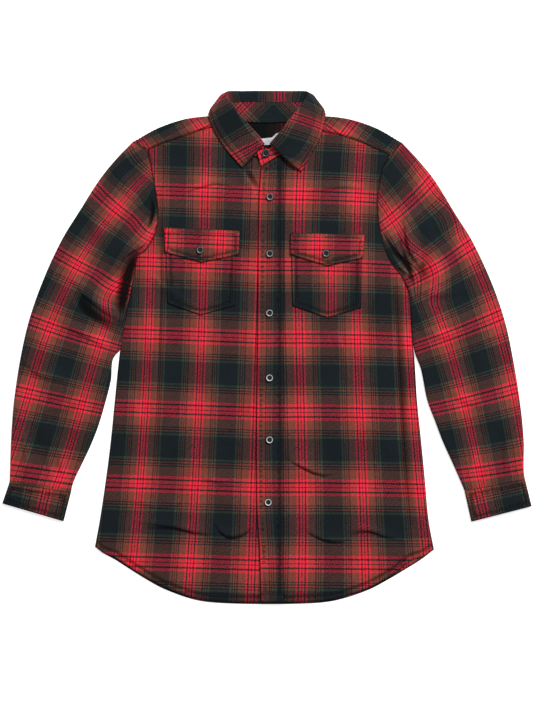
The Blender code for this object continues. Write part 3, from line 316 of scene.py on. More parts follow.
# Yarn stripes from the middle of the red group to the middle of the black field, mm each
Stripe = namedtuple("Stripe", "yarn width")
WARP_SETT = (
    Stripe("black", 0.5), Stripe("red", 3.1), Stripe("black", 2.1), Stripe("red", 2.75),
    Stripe("brown", 10.85), Stripe("black", 1.9), Stripe("brown", 1.6), Stripe("black", 1.7),
    Stripe("brown", 1.6), Stripe("black", 1.8), Stripe("olive", 3.1), Stripe("black", 14.85))
WEFT_SETT = (
    Stripe("black", 0.7), Stripe("red", 5.05), Stripe("black", 2.75), Stripe("red", 4.7),
    Stripe("brown", 14.9), Stripe("black", 2.0), Stripe("brown", 1.85), Stripe("black", 2.25),
    Stripe("brown", 2.2), Stripe("black", 2.1), Stripe("olive", 3.9), Stripe("black", 17.95))
WARP_PITCH = 2 * sum(stripe.width for stripe in WARP_SETT)
WEFT_PITCH = 2 * sum(stripe.width for stripe in WEFT_SETT)
DRAG = 2.6              # reach of the noise that drags the stripes' edges to and fro
MIX_GAMMA = 3.37        # yarns are mixed at this root of their light

# Where red weft bands cross red warp bands: the weft band's number, the first warp band's
# number, and the places where that and the next warp bands cross it
Band = namedtuple("Band", "weft warp places")
PLAID_FRONT_RIGHT = (
    Band(-1, -1, ((-190, 376), (-100, 373), (1, 369))),
    Band(1, -1, ((-192, 141), (-105, 138), (-9, 134))),
    Band(3, -1, ((-201, -100), (-113, -103), (-17, -107))),
    Band(5, -1, ((-221, -353), (-126, -356), (-25, -359))),
)
PLAID_FRONT_LEFT = (
    Band(-1, 0, ((61, 365), (157, 360), (237, 353))),
    Band(1, 0, ((52, 134), (148, 132), (232, 128))),
    Band(3, 0, ((56, -107), (153, -108), (243, -110))),
    Band(5, 0, ((58, -357), (162, -358), (265, -359))),
)
PLAID_SLEEVE_RIGHT = (
    Band(0, -1, ((-295, 275), (-248, 229), (-190, 189))),
    Band(1, -1, ((-379, 177), (-312, 136), (-240, 101))),
    Band(2, -1, ((-441, 64), (-359, 33), (-276, 7))),
    Band(3, -1, ((-482, -55), (-393, -76), (-306, -95))),
    Band(4, -1, ((-523, -187), (-432, -201), (-342, -214))),
)
PLAID_SLEEVE_LEFT = (
    Band(0, -2, ((138, 164), (206, 214), (268, 271), (317, 337))),
    Band(1, -2, ((179, 81), (256, 120), (331, 165))),
    Band(2, -2, ((213, -10), (295, 17), (377, 50))),
    Band(3, -2, ((243, -108), (325, -90), (407, -69))),
    Band(4, -2, ((270, -213), (350, -205), (428, -192))),
)
PLAID_REACH = 200.0     # x and y are divided by this before the plaid is fitted

# Places where a sleeve's tucks pull its plaid aside
Pull = namedtuple("Pull", "x y reach by_x by_y")
PULLS = (
    Pull(-261, 86, 46, -17, -1), Pull(-200, 186, 38, 0, -10), Pull(-191, 232, 32, 0, -10),
    Pull(-242, 298, 55, -9, 0), Pull(274, 132, 64, 20, 9), Pull(304, 222, 45, 8, 4))

# A small piece's plaid: a red crossing, the turn of its weft in degrees, its two pitches, and
# how much further its warp is turned where the cloth is pulled askew
Lay = namedtuple("Lay", "x y turn warp weft lean", defaults=(0.0,))
LAY_FLAP_RIGHT = Lay(-76.7, 176.6, -2.3, 91.0, 121.0)
LAY_FLAP_LEFT = Lay(82.5, 168.3, -1.2, 84.0, 121.0)
LAY_CUFF_RIGHT = Lay(-359.0, -214.3, -13.0, 108.0, 121.0)
LAY_CUFF_LEFT = Lay(343.7, -215.9, 13.0, 104.0, 121.0)
LAY_BACK = Lay(-28.0, -330.0, 0.0, 86.0, 121.0)
LAY_INNER_YOKE = Lay(32.0, 302.0, 0.0, 94.0, 121.0)
LAY_TAB = Lay(-6.0, 320.0, 20.0, 91.0, 121.0)
POCKET_LEFT_RED = 106.0         # x of the left pocket's red warp band
PLACKET_RED = 5.2       # the placket's red warp band lies this far outside its edge

# Yoke: level across the back, and turned where it folds over each shoulder
LAY_YOKE_BACK = Lay(-112.0, 398.0, 0.0, 84.0, 121.0)
LAY_YOKE_RIGHT = Lay(-105.2, 356.6, 26.5, 91.6, 83.5, 11.2)
LAY_YOKE_LEFT = Lay(121.5, 344.5, -33.9, 104.6, 94.2, -4.3)

Knot = namedtuple("Knot", "place number")

# Collar leaves: a corner to measure from and the way along the leaf, with the warp numbers at
# distances along it, and the weft numbers at distances in from the free edge
Leaf = namedtuple("Leaf", "x y along_x along_y")
LEAF_RIGHT = Leaf(-100.6, 421.6, 0.477, -0.879)
LEAF_LEFT = Leaf(-8.3, 421.6, -0.30, -0.954)
LEAF_RIGHT_WARP = (
    Knot(0, 2.86), Knot(17, 3.04), Knot(46.8, 3.335), Knot(80.9, 3.665), Knot(90.7, 3.765),
    Knot(108.5, 3.885), Knot(128.9, 4.115), Knot(150, 4.35))
LEAF_LEFT_WARP = (
    Knot(-40, 1.7), Knot(-19, 1.47), Knot(15.3, 1.11), Knot(35.1, 0.89), Knot(47.6, 0.765),
    Knot(57.5, 0.665), Knot(91.0, 0.42), Knot(99.0, 0.2), Knot(104, 0.03))
LEAF_RIGHT_WEFT = (Knot(0, 0.19), Knot(10, 0.335), Knot(50, 0.665), Knot(112, 1.17))
LEAF_LEFT_WEFT = (Knot(0, 0.12), Knot(14.5, 0.335), Knot(52, 0.665), Knot(114, 1.17))
LEAF_LEFT_PULL = 0.14       # the weft numbers fall by this towards that leaf's point
LEAF_PULL_FROM, LEAF_PULL_OVER = 78, 20     # from this distance along the leaf, over this length
BACK_FALL_WEFT = -0.24      # the weft numbers' shift behind the neck
BACK_FALL_OVER = 4          # full once one part in this many of the way from either side
# Warp numbers of the rows round the back, from the right side to the left one
BACK_FALL_WARP = (3.22, 3.14, 3.03, 2.92, 2.76, 2.49, 2.20, 1.91, 1.67, 1.56, 1.47, 1.35, 1.26)

# Stand: the bias cut meets in a point at the middle of the back
BIAS_TOP_X, BIAS_TOP_Y = 10.1, 402.4
BIAS_WARP, BIAS_WEFT = 0.338, 0.649     # numbers at that point
TAB_FROM, TAB_OVER = 30, 20     # its ends are on grain from this far below, over this length

# ------ buttons and places

# A button's middle, and how strong the painted highlight on its ring is, 0 to 1
Spot = namedtuple("Spot", "x y grey")
BUTTON_STAND = Spot(-2.0, 319.6, 0.10)
BUTTONS_FRONT = (
    Spot(4.9, 248.3, 0.32), Spot(4.6, 154.6, 0.34), Spot(4.3, 56.9, 0.60), Spot(4.3, -50.0, 0.85),
    Spot(4.3, -152.1, 0.85), Spot(2.1, -254.9, 0.95))
BUTTON_FLAP_RIGHT = Spot(-110.1, 160.5, 0.22)
BUTTON_FLAP_LEFT = Spot(97.5, 154.9, 0.22)
Turn = namedtuple("Turn", "radius height")
BUTTON_FRONT_FACE = (
    Turn(6.0, 0.35), Turn(6.35, 0.9), Turn(6.3, 1.7), Turn(6.0, 2.3), Turn(5.6, 2.58), Turn(5.2, 2.64),
    Turn(4.7, 2.5), Turn(4.2, 2.1), Turn(3.7, 1.8))
BUTTON_BACK_FACE = (Turn(3.7, 0.0), Turn(5.2, 0.0))
HIGHLIGHT_FROM, HIGHLIGHT_TO = 4.0, 5.4       # radii between which the ring carries its painted highlight
HOLE_OFFSET = 1.05      # from the button's middle to a hole, along x and along y
HOLE_RADIUS = 0.55
HOLE_SIDES = 12
HOLE_FLOOR = 0.9        # height of a hole's floor
BUTTON_AIR = 0.35       # a button sits this far above its cloth
BUTTON_THREAD = 0.42    # thickness of the thread that ties it
TIE_HEIGHT = 0.12       # that thread's height above the dish
TIE_CROSSING = 0.18     # and how far its upper pair lies over the lower one
TIE_APART = 0.22        # half the distance between the two of a pair
TIE_REACH = 1.25        # its ends are this many times as far out as the holes
THREAD_AIR = 0.05       # a stitch's middle is this far above its cloth
STITCH_FROM, STITCH_TO = 0.08, 0.86     # the part of its pitch that a stitch covers
THREAD_SIDES = 5
THREAD_PROFILE = ((0.0, 0.35), (0.2, 0.9), (0.8, 0.9), (1.0, 0.35))     # along, radius
ABOVE_ALL = 60.0        # a height above all the cloth

# Flat cuts: width, length of the rectangle that each piece is cut from, mm
Cut = namedtuple("Cut", "width length rests_on")

# ------ stage

VIEW_X, VIEW_Y = -0.8, -13.2        # the camera looks straight down here, mm
VIEW_LENGTH = 1173.2                # what it sees at the cloth, mm
VIEW_HEIGHT = 2200.0
CLOTH_LEVEL = 4.0
SENSOR = 36.0
FLOOR_HALF = 6.0                    # metres, as are the next three
FLOOR_LEVEL = -0.0005
LAMP_PLACE = (2.6, 4.2, 4.0)
LAMP_SIZE = 2.2
LAMP_POWER = 500.0                  # watts
WORLD_STRENGTH = 0.42


# ------ settings

def length_setting(name, description, default, low, high):
    """A length in metres that a user can set."""
    return FloatProperty(name=name, description=description, default=default, min=low, max=high,
                         subtype="DISTANCE", unit="LENGTH")


class ShirtSizes(bpy.types.PropertyGroup):
    """Sizes that a user would change."""

    panel_step: length_setting(
        "Panel step", "Spacing of the points in the cloth that shows", 0.0048, 0.003, 0.03)
    hidden_step: length_setting(
        "Hidden step", "Spacing of the points in the back panel", 0.014, 0.004, 0.06)
    uneven: length_setting(
        "Unevenness", "How far the cloth wanders up and down between its folds", 0.0004, 0.0, 0.003)
    edge_round: length_setting(
        "Edge rounding", "How far a sewn edge turns down", 0.0007, 0.0, 0.002)
    edge_width: length_setting(
        "Edge width", "Width over which a sewn edge turns down", 0.0018, 0.0003, 0.005)
    stitch_in: length_setting(
        "Topstitch", "Distance of the topstitching from an edge", 0.0068, 0.001, 0.02)
    hem_depth: length_setting(
        "Hem depth", "Distance of the hem's stitching from the hem's edge", 0.0095, 0.004, 0.03)
    stitch_pitch: length_setting(
        "Stitch pitch", "Length from one stitch to the next", 0.0030, 0.001, 0.006)
    thread: length_setting("Thread", "Thickness of the sewing thread", 0.0005, 0.0002, 0.001)
    button_sides: IntProperty(
        name="Button sides", description="Points round a button", default=48, min=12, max=96)


class ShirtColours(bpy.types.PropertyGroup):
    """Colours as sRGB hex values."""

    red: StringProperty(name="Red yarn", description="Red of the plaid", default="#CB3645")
    brown: StringProperty(name="Brown yarn", description="Brown of the plaid", default="#6A433B")
    black: StringProperty(name="Black yarn", description="Black of the plaid", default="#22292C")
    olive: StringProperty(name="Olive yarn", description="Thin green lines", default="#3D443A")
    label: StringProperty(name="Label", description="Woven label", default="#B9BBC0")
    thread: StringProperty(name="Thread", description="Sewing thread", default="#17191C")
    button_rim: StringProperty(name="Button rim", description="Rim of a button", default="#141517")
    # pale grey of the painted highlight on a button's ring
    button_ring_highlight: StringProperty(name="Button ring", description="Ring of a button", default="#C9CDCE")
    floor: StringProperty(name="Floor", description="Light table", default="#F4F4F4")


def size(name):
    """One of the sizes that a user can set, in millimetres."""
    return getattr(bpy.context.scene.shirt_sizes, name) / MM


# ------ curves and small sums

def curve_through(points, counts):
    """A smooth curve through the points, with a set number of steps in each stretch."""
    points = np.asarray(points, float)
    padded = np.vstack((2 * points[0] - points[1], points, 2 * points[-1] - points[-2]))
    curve = [points[0]]
    for before, start, end, after, count in zip(padded, padded[1:], padded[2:], padded[3:], counts):
        length = np.linalg.norm(end - start)
        leave = (end - before) * (length / (length + np.linalg.norm(start - before)))
        arrive = (after - start) * (length / (length + np.linalg.norm(after - end)))
        for index in range(1, count + 1):
            t = index / count
            curve.append(start * (1 + 2 * t) * (1 - t) ** 2 + leave * t * (1 - t) ** 2
                         + end * t * t * (3 - 2 * t) + arrive * t * t * (t - 1))
    return np.array(curve)


def smooth(rows, step):
    """A smooth curve through the rows, one point about every step, with every row kept."""
    lengths = np.linalg.norm(np.diff(np.asarray(rows, float), axis=0), axis=1)
    return curve_through(rows, [max(1, round(length / step)) for length in lengths])


def unit(vector):
    """A vector's direction."""
    return vector / np.linalg.norm(vector)


def run_along(points):
    """The length run from the first point to each of the points."""
    steps = np.linalg.norm(np.diff(points, axis=0), axis=1)
    return np.concatenate(((0.0,), np.cumsum(steps)))


def straight(start, end, step):
    """Evenly spaced points from start to end."""
    start, end = np.asarray(start, float), np.asarray(end, float)
    count = max(1, round(float(np.linalg.norm(end - start)) / step))
    return start + (end - start) * np.linspace(0, 1, count + 1)[:, None]


def loop(*curves):
    """Join curves end to end into one closed outline, meeting points kept once."""
    ring = []
    for point in np.vstack(curves):
        if not ring or np.linalg.norm(point - ring[-1]) > 0.05:
            ring.append(point)
    if np.linalg.norm(ring[0] - ring[-1]) <= 0.05:
        ring.pop()
    return np.array(ring)


def polygon(corners, step):
    """The sides of a straight-sided outline, each divided evenly."""
    corners = np.asarray(corners, float)
    return loop(*(straight(a, b, step) for a, b in zip(corners, np.roll(corners, -1, axis=0))))


def turns_left(ring):
    """Whether an outline runs anticlockwise."""
    ahead = np.roll(ring, -1, axis=0)
    return float(np.sum(ring[:, 0] * ahead[:, 1] - ring[:, 1] * ahead[:, 0])) > 0


def inset(corners, distance):
    """The corners of a polygon with every side moved in by the same distance."""
    corners = np.asarray(corners, float)
    sides = np.roll(corners, -1, axis=0) - corners
    sides /= np.linalg.norm(sides, axis=1)[:, None]
    inward = np.stack((-sides[:, 1], sides[:, 0]), axis=1) * (1 if turns_left(corners) else -1)
    middle = inward + np.roll(inward, 1, axis=0)
    return corners + middle * (distance / np.sum(middle * inward, axis=1))[:, None]


def left_normals(points):
    """Unit vectors to the left of an open curve, one at each point."""
    along = np.gradient(points, axis=0)
    along /= np.linalg.norm(along, axis=1)[:, None]
    return np.stack((-along[:, 1], along[:, 0]), axis=1)


def offset(points, distance):
    """Move an open curve sideways, to its left where distance is positive."""
    return points + left_normals(points) * distance


def height_at(curve, x):
    """y of a curve that runs along x."""
    curve = np.asarray(curve)
    curve = curve[np.argsort(curve[:, 0])]
    return np.interp(x, curve[:, 0], curve[:, 1])


def width_at(curve, y):
    """x of a curve that runs along y."""
    return height_at(np.asarray(curve)[:, ::-1], y)


def knots(table, places):
    """Numbers at some places, read between a table's knots."""
    return np.interp(places, [knot.place for knot in table], [knot.number for knot in table])


def ease(value):
    """0 to 1, with a level start and end."""
    t = np.clip(value, 0, 1)
    return t * t * (3 - 2 * t)


def hill(t):
    """1 at 0, falling smoothly to 0 at 1 and beyond."""
    return np.clip(1 - t * t, 0, 1) ** 2


def nearest_on(line, x, y, closed=False):
    """Distance to a polyline, the vector from it, the side (+1 left) and the length run."""
    line = np.asarray(line, float)
    stops = np.roll(line, -1, axis=0) if closed else line[1:]
    best = np.full(np.shape(x), np.inf)
    away_x, away_y, side, run = (np.zeros(np.shape(x)) for _ in range(4))
    done = 0.0
    for start, stop in zip(line, stops):
        step = stop - start
        length = math.hypot(*step)
        t = np.clip(((x - start[0]) * step[0] + (y - start[1]) * step[1]) / length ** 2, 0, 1)
        dx, dy = x - start[0] - t * step[0], y - start[1] - t * step[1]
        distance = np.hypot(dx, dy)
        nearer = distance < best
        best = np.where(nearer, distance, best)
        away_x, away_y = np.where(nearer, dx, away_x), np.where(nearer, dy, away_y)
        side = np.where(nearer, np.sign(step[0] * dy - step[1] * dx), side)
        run = np.where(nearer, done + t * length, run)
        done += length
    return best, np.stack((away_x, away_y), axis=-1), side, run / done


def folds_at(folds, x, y):
    """How far the folds lift the cloth."""
    lift = np.zeros(np.shape(x))
    for fold in folds:
        distance, _, side, run = nearest_on(smooth(fold.points, FOLD_STEP), x, y)
        width = np.where(side > 0, fold.left, fold.right)
        taper = ease(1.6 * np.minimum(run, 1 - run) + 0.25)
        lift += fold.height * taper * hill(distance / width)
    return lift


def fold_rows(folds, spacing):
    """Rows of points across the narrow folds, near enough together to draw their slopes."""
    rows = []
    for fold in folds:
        line = smooth(fold.points, spacing)
        for width, way in ((fold.left, 1), (fold.right, -1)):
            if width < FOLD_STEP:
                rows += [offset(line, way * width * part) for part in (0.2, 0.42, 0.64, 0.9)]
    return rows


def unevenness(x, y, reach, seed):
    """Gentle rise and fall between -1 and 1, with waves about as long as reach."""
    draw = np.random.default_rng(seed)
    total = np.zeros(np.shape(x))
    for _ in range(WAVES):
        angle, phase = draw.uniform(0, math.tau, 2)
        length = reach * draw.uniform(0.7, 2.0)
        total += np.sin(math.tau * (x * math.cos(angle) + y * math.sin(angle)) / length + phase)
    return total / math.sqrt(WAVES * 2)


# ------ triangulation and meshes

def inside(ring, x, y):
    """Whether places lie inside a closed outline."""
    hit = np.zeros(np.shape(x), bool)
    for a, b in zip(ring, np.roll(ring, -1, axis=0)):
        if a[1] != b[1]:
            crosses = (a[1] > y) != (b[1] > y)
            hit ^= crosses & (x < a[0] + (b[0] - a[0]) * (y - a[1]) / (b[1] - a[1]))
    return hit


def rows_inside(ring, rows):
    """The points of some rows that lie inside a closed outline."""
    return [row[inside(ring, row[:, 0], row[:, 1])] for row in rows]


def lattice(rings, step):
    """Points of an even triangular grid that lie inside any of the outlines."""
    every = np.vstack(rings)
    low, high = every.min(axis=0), every.max(axis=0)
    row_step = step * math.sqrt(3) / 2
    rows = np.arange(int((high[1] - low[1]) / row_step) + 1)
    columns = np.arange(int((high[0] - low[0]) / step) + 1)
    column, row = np.meshgrid(columns, rows)
    x = (low[0] + (column + 0.5 * (row % 2)) * step).ravel()
    y = (low[1] + row * row_step).ravel()
    keep = np.zeros(len(x), bool)
    for ring in rings:
        keep |= inside(ring, x, y)
    return np.stack((x, y), axis=1)[keep]


def apart(candidates, kept, distance):
    """The candidates that are no nearer than distance to any kept point."""
    tree = KDTree(len(kept))
    for index, point in enumerate(kept):
        tree.insert((point[0], point[1], 0), index)
    tree.balance()
    far = [tree.find((point[0], point[1], 0))[2] > distance for point in candidates]
    return candidates[np.array(far, bool)]


def triangulate(rings, step, rows):
    """One triangulation for outlines that may overlap, and the triangles inside each of them.

    Rows are lists of points to keep."""
    faces, count = [], 0
    for ring in rings:
        numbers = list(range(count, count + len(ring)))
        faces.append(numbers if turns_left(ring) else numbers[::-1])
        count += len(ring)
    fixed = np.vstack(rings)
    if len(rows):
        fixed = np.vstack((fixed, apart(np.vstack(rows), fixed, step * 0.1)))
    fixed = np.vstack((fixed, apart(lattice(rings, step), fixed, step * 0.55)))
    result = delaunay_2d_cdt([Vector(point) for point in fixed], [], faces, 1, 1e-3)
    flat = np.array([tuple(point) for point in result[0]])
    triangles, owners = result[2], result[5]
    inside_of = [np.array([face for face, own in zip(triangles, owners) if number in own])
                 for number in range(len(rings))]
    return flat, inside_of


def rim_edges(triangles):
    """Directed edges of the open border of some triangles."""
    sides = np.vstack((triangles[:, (0, 1)], triangles[:, (1, 2)], triangles[:, (2, 0)]))
    known = set(map(tuple, sides.tolist()))
    return np.array([side for side in sides.tolist() if (side[1], side[0]) not in known])


def make_object(name, points, faces, finish, cloth=None):
    """A smooth-shaded object in metres, with its cloth's warp and weft numbers and the painted shade of
    its seams and creases.
    """
    mesh = bpy.data.meshes.new(name)
    mesh.from_pydata((np.asarray(points) * MM).tolist(), [], [tuple(face) for face in faces])
    if cloth is not None:
        layer = mesh.attributes.new("cloth", "FLOAT_VECTOR", "POINT")
        layer.data.foreach_set("vector", np.asarray(cloth, np.float32).ravel())
    mesh.materials.append(material(finish))
    mesh.shade_smooth()
    mesh.set_sharp_from_angle(angle=math.radians(SHARP_ANGLE))
    piece = bpy.data.objects.new(name, mesh)
    bpy.context.collection.objects.link(piece)
    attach(piece, BODY)
    return piece


def lay_cloth(node, points, faces, cloth, slot="flannel"):
    """A piece of cloth, with the node that it stands for and its finish."""
    piece = make_object(node + "_cloth", points, faces, slot, cloth)
    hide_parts(node)


def lay_wall(node, triangles, outer, inner, cloth, slot="flannel"):
    """A closed thin wall of cloth between two copies of one triangulated sheet."""
    used = np.unique(triangles)
    place = np.full(len(outer), -1)
    place[used] = np.arange(len(used))
    top = place[triangles]
    rim = place[rim_edges(triangles)]
    faces = (top.tolist() + (top[:, ::-1] + len(used)).tolist()
             + np.column_stack((rim[:, 1], rim[:, 0], rim[:, 0] + len(used),
                                rim[:, 1] + len(used))).tolist())
    lay_cloth(node, np.vstack((outer[used], inner[used])), faces,
              np.vstack((cloth[used], cloth[used])), slot)


def lay_level(node, triangles, flat, low, top, numbers, marks, slot="flannel"):
    """A wall of cloth straight up from its underside to its top."""
    lay_wall(node, triangles, np.column_stack((flat, top)), np.column_stack((flat, low)),
             np.column_stack((numbers, marks)), slot)


# ------ materials

def linear(code):
    """An sRGB hex colour as linear red, green, blue and alpha."""
    values = [int(code[index:index + 2], 16) / 255 for index in (1, 3, 5)]
    return tuple(v / 12.92 if v <= 0.04045 else ((v + 0.055) / 1.055) ** 2.4 for v in values) + (1.0,)


def colour(name):
    """One of the colours that a user can set."""
    return linear(getattr(bpy.context.scene.shirt_colours, name))


def set_inputs(tree, node, inputs):
    """Set a node's sockets to values, or link them to sockets or to other nodes' first outputs."""
    for socket, source in inputs.items():
        if isinstance(source, bpy.types.Node):
            source = source.outputs[0]
        if isinstance(source, bpy.types.NodeSocket):
            tree.links.new(source, node.inputs[socket])
        else:
            node.inputs[socket].default_value = source


def add_node(tree, kind, inputs=None, **settings):
    """Add a shader node with its settings, and set or link its sockets."""
    node = tree.nodes.new("ShaderNode" + kind)
    for name, value in settings.items():
        setattr(node, name, value)
    set_inputs(tree, node, inputs or {})
    return node


def new_material(name, inputs):
    """A named material with some of its shader's sockets set, its node tree and its shader."""
    made = bpy.data.materials.new(name)
    made.use_nodes = True
    shader = made.node_tree.nodes["Principled BSDF"]
    set_inputs(made.node_tree, shader, inputs)
    return made, made.node_tree, shader


def fill_stripes(ramp, sett):
    """Set a colour ramp's bands to the stripes of one half of the sett."""
    ramp.interpolation = "CONSTANT"
    total = sum(stripe.width for stripe in sett)
    start = 0.0
    for index, stripe in enumerate(sett):
        element = ramp.elements[0] if index == 0 else ramp.elements.new(start / total)
        element.position = start / total
        element.color = colour(stripe.yarn)
        start += stripe.width
    while len(ramp.elements) > len(sett):
        ramp.elements.remove(ramp.elements[-1])


def brushed_flannel():
    """Cotton twill woven from dyed yarns and brushed on its face.

    It gives stripes with fuzzy edges, crossings that mix two yarns in a fine diagonal, a
    mottled nap and no gloss but a faint sheen at low angles."""
    made, tree, shader = new_material("brushed_cotton_flannel", {
        "Roughness": 0.92, "Specular IOR Level": 0.12, "Sheen Weight": 0.10,
        "Sheen Roughness": 0.5, "Sheen Tint": linear("#8C6A68")})
    cloth = add_node(tree, "Attribute", attribute_name="cloth",
                     attribute_type="GEOMETRY").outputs["Vector"]
    # Numbers of bands turned into millimetres of cloth
    threads = add_node(tree, "VectorMath", {0: cloth, 1: (WARP_PITCH, WEFT_PITCH, 1.0)},
                       operation="MULTIPLY")
    # Brushed fibres drag each stripe's edge to and fro by about half a millimetre.  The real
    # fibres are finer, and these are drawn at 1.3 mm so that they show.
    drag = add_node(tree, "TexNoise",
                    {"Vector": threads, "Scale": 0.75, "Detail": 2.0, "Roughness": 0.6})
    drag_out = add_node(tree, "VectorMath", {0: drag.outputs["Color"], 1: (0.5, 0.5, 0.5)},
                        operation="SUBTRACT")
    drag_size = add_node(tree, "VectorMath",
                         {0: drag_out, 1: (DRAG / WARP_PITCH, DRAG / WEFT_PITCH, 0.0)},
                         operation="MULTIPLY")
    pulled = add_node(tree, "VectorMath", {0: cloth, 1: drag_size}, operation="ADD")
    split = add_node(tree, "SeparateXYZ", {0: pulled})
    # Painted shade: the cloth's third number darkens it along edges and stitches and in the folds'
    # troughs
    painted_shade_tone = add_node(tree, "MapRange",
                    {"Value": split.outputs["Z"], "From Max": 2.0, "To Min": 1.0, "To Max": 0.44})
    yarns = []
    for socket, sett in (("X", WARP_SETT), ("Y", WEFT_SETT)):
        folded = add_node(tree, "Math", {0: split.outputs[socket], 1: 0.5}, operation="PINGPONG")
        half = add_node(tree, "Math", {0: folded, 1: 2.0}, operation="MULTIPLY")
        ramp = add_node(tree, "ValToRGB", {0: half})
        fill_stripes(ramp.color_ramp, sett)
        # Yarns lie side by side, so their colours mix as the eye sees them, not as light does
        yarns.append(add_node(tree, "Gamma", {0: ramp, 1: 1 / MIX_GAMMA}))
    # Twill lines run at 45 degrees.  Real ones are 0.7 mm apart, these are drawn at 2.2 mm.
    twill = add_node(tree, "TexWave",
                     {"Vector": threads, "Scale": 0.143, "Distortion": 5.0, "Detail Scale": 1.6},
                     wave_type="BANDS", bands_direction="DIAGONAL")
    fuzz = add_node(tree, "TexNoise",
                    {"Vector": threads, "Scale": 0.62, "Detail": 3.0, "Roughness": 0.65})
    over = add_node(tree, "Math", {0: twill.outputs["Fac"], 1: 0.45, 2: fuzz}, operation="MULTIPLY_ADD")
    share = add_node(tree, "MapRange",
                     {"Value": over, "From Min": 0.45, "To Min": 0.30, "To Max": 0.70})
    mixed = add_node(tree, "Mix", {0: share, 6: yarns[0], 7: yarns[1]}, data_type="RGBA")
    # Nap: a mottle of lighter and darker tufts, drawn at about 1.8 mm
    tufts = add_node(tree, "TexNoise",
                     {"Vector": threads, "Scale": 0.55, "Detail": 4.0, "Roughness": 0.75})
    wash = add_node(tree, "TexNoise", {"Vector": threads, "Scale": 0.018})
    mottle = add_node(tree, "MapRange", {"Value": tufts, "From Min": 0.3, "From Max": 0.7,
                                         "To Min": 0.88, "To Max": 1.12})
    washed = add_node(tree, "MapRange", {"Value": wash, "From Min": 0.3, "From Max": 0.7,
                                         "To Min": 0.975, "To Max": 1.025})
    napped = add_node(tree, "Math", {0: mottle, 1: washed}, operation="MULTIPLY")
    tone = add_node(tree, "Math", {0: napped, 1: painted_shade_tone}, operation="MULTIPLY")
    toned = add_node(tree, "VectorMath", {0: mixed.outputs[2], "Scale": tone}, operation="SCALE")
    # Deep dyes: dark mixes look darker and bright ones brighter than their yarns' average
    steep = add_node(tree, "MapRange", {"Vector": toned}, data_type="FLOAT_VECTOR",
                     interpolation_type="SMOOTHSTEP")
    deep = add_node(tree, "Mix", {0: 0.95, 4: toned, 5: steep.outputs["Vector"]}, data_type="VECTOR")
    coloured = add_node(tree, "Gamma", {0: deep.outputs[1], 1: MIX_GAMMA})
    nap = add_node(tree, "Math", {0: over, 1: tufts}, operation="ADD")
    bump = add_node(tree, "Bump", {"Height": nap, "Strength": 0.35, "Distance": 0.0004})
    set_inputs(tree, shader, {"Base Color": coloured, "Normal": bump})
    return made


def label_tape():
    """Woven polyester damask: fine ribs across and a soft shine."""
    made, tree, shader = new_material("polyester_damask_label",
                                      {"Roughness": 0.55, "Sheen Weight": 0.3})
    place = add_node(tree, "TexCoord").outputs["Object"]
    # Ribs every 0.9 mm; the real ones are finer
    ribs = add_node(tree, "TexWave", {"Vector": place, "Scale": 350.0, "Distortion": 0.6},
                    wave_type="BANDS", bands_direction="Y")
    shade = add_node(tree, "TexNoise", {"Vector": place, "Scale": 90.0, "Detail": 3.0})
    tone = add_node(tree, "MapRange",
                    {"Value": shade, "From Min": 0.3, "From Max": 0.7, "To Min": 0.72, "To Max": 1.1})
    shaded = add_node(tree, "VectorMath", {0: colour("label")[:3], "Scale": tone}, operation="SCALE")
    bump = add_node(tree, "Bump", {"Height": ribs.outputs["Fac"], "Strength": 0.4, "Distance": 0.0002})
    set_inputs(tree, shader, {"Base Color": shaded, "Normal": bump})
    return made


def turned_polyester():
    """Cast polyester rod turned to a button: dark, with a painted highlight on its ring and fine lathe
    marks.
    """
    made, tree, shader = new_material("turned_polyester_resin", {
        "Roughness": 0.24, "Specular IOR Level": 0.25, "Coat Weight": 0.05,
        "Coat Roughness": 0.15})
    # The ring attribute carries the painted highlight, mixed in over the dark rim
    ring = add_node(tree, "Attribute", attribute_name="ring", attribute_type="GEOMETRY").outputs["Fac"]
    place = add_node(tree, "TexCoord").outputs["Object"]
    cloud = add_node(tree, "TexNoise", {"Vector": place, "Scale": 420.0, "Detail": 3.0})
    veined = add_node(tree, "MapRange",
                      {"Value": cloud, "From Min": 0.3, "From Max": 0.7, "To Min": 0.75})
    highlight_amount = add_node(tree, "Math", {0: ring, 1: veined}, operation="MULTIPLY")
    mixed = add_node(tree, "Mix", {0: highlight_amount, 6: colour("button_rim"), 7: colour("button_ring_highlight")},
                     data_type="RGBA")
    # Lathe marks about 0.25 mm apart
    marks = add_node(tree, "TexNoise", {"Vector": place, "Scale": 2600.0, "Detail": 1.0})
    bump = add_node(tree, "Bump", {"Height": marks, "Strength": 0.1, "Distance": 0.0001})
    set_inputs(tree, shader, {"Base Color": mixed.outputs[2], "Normal": bump})
    return made


def spun_thread():
    """Spun polyester sewing thread: two twisted plies, matt."""
    made, tree, shader = new_material("spun_polyester_thread",
                                      {"Roughness": 0.75, "Sheen Weight": 0.2})
    place = add_node(tree, "TexCoord").outputs["Object"]
    # The twist repeats every 0.6 mm
    ply = add_node(tree, "TexWave", {"Vector": place, "Scale": 520.0, "Distortion": 1.0},
                   wave_type="BANDS", bands_direction="DIAGONAL")
    tone = add_node(tree, "MapRange", {"Value": ply.outputs["Fac"], "To Min": 0.7, "To Max": 1.3})
    shaded = add_node(tree, "VectorMath", {0: colour("thread")[:3], "Scale": tone}, operation="SCALE")
    set_inputs(tree, shader, {"Base Color": shaded})
    return made


def lit_acrylic():
    """Opal acrylic of a light table: matt, and lit from below so that shadows on it stay pale."""
    made, tree, shader = new_material("opal_acrylic_light_table", {
        "Roughness": 0.9, "Specular IOR Level": 0.1, "Emission Strength": 0.6,
        "Emission Color": colour("floor"), "Base Color": colour("floor")})
    place = add_node(tree, "TexCoord").outputs["Object"]
    tooth = add_node(tree, "TexNoise", {"Vector": place, "Scale": 900.0})
    bump = add_node(tree, "Bump", {"Height": tooth, "Strength": 0.05, "Distance": 0.0001})
    set_inputs(tree, shader, {"Normal": bump})
    return made


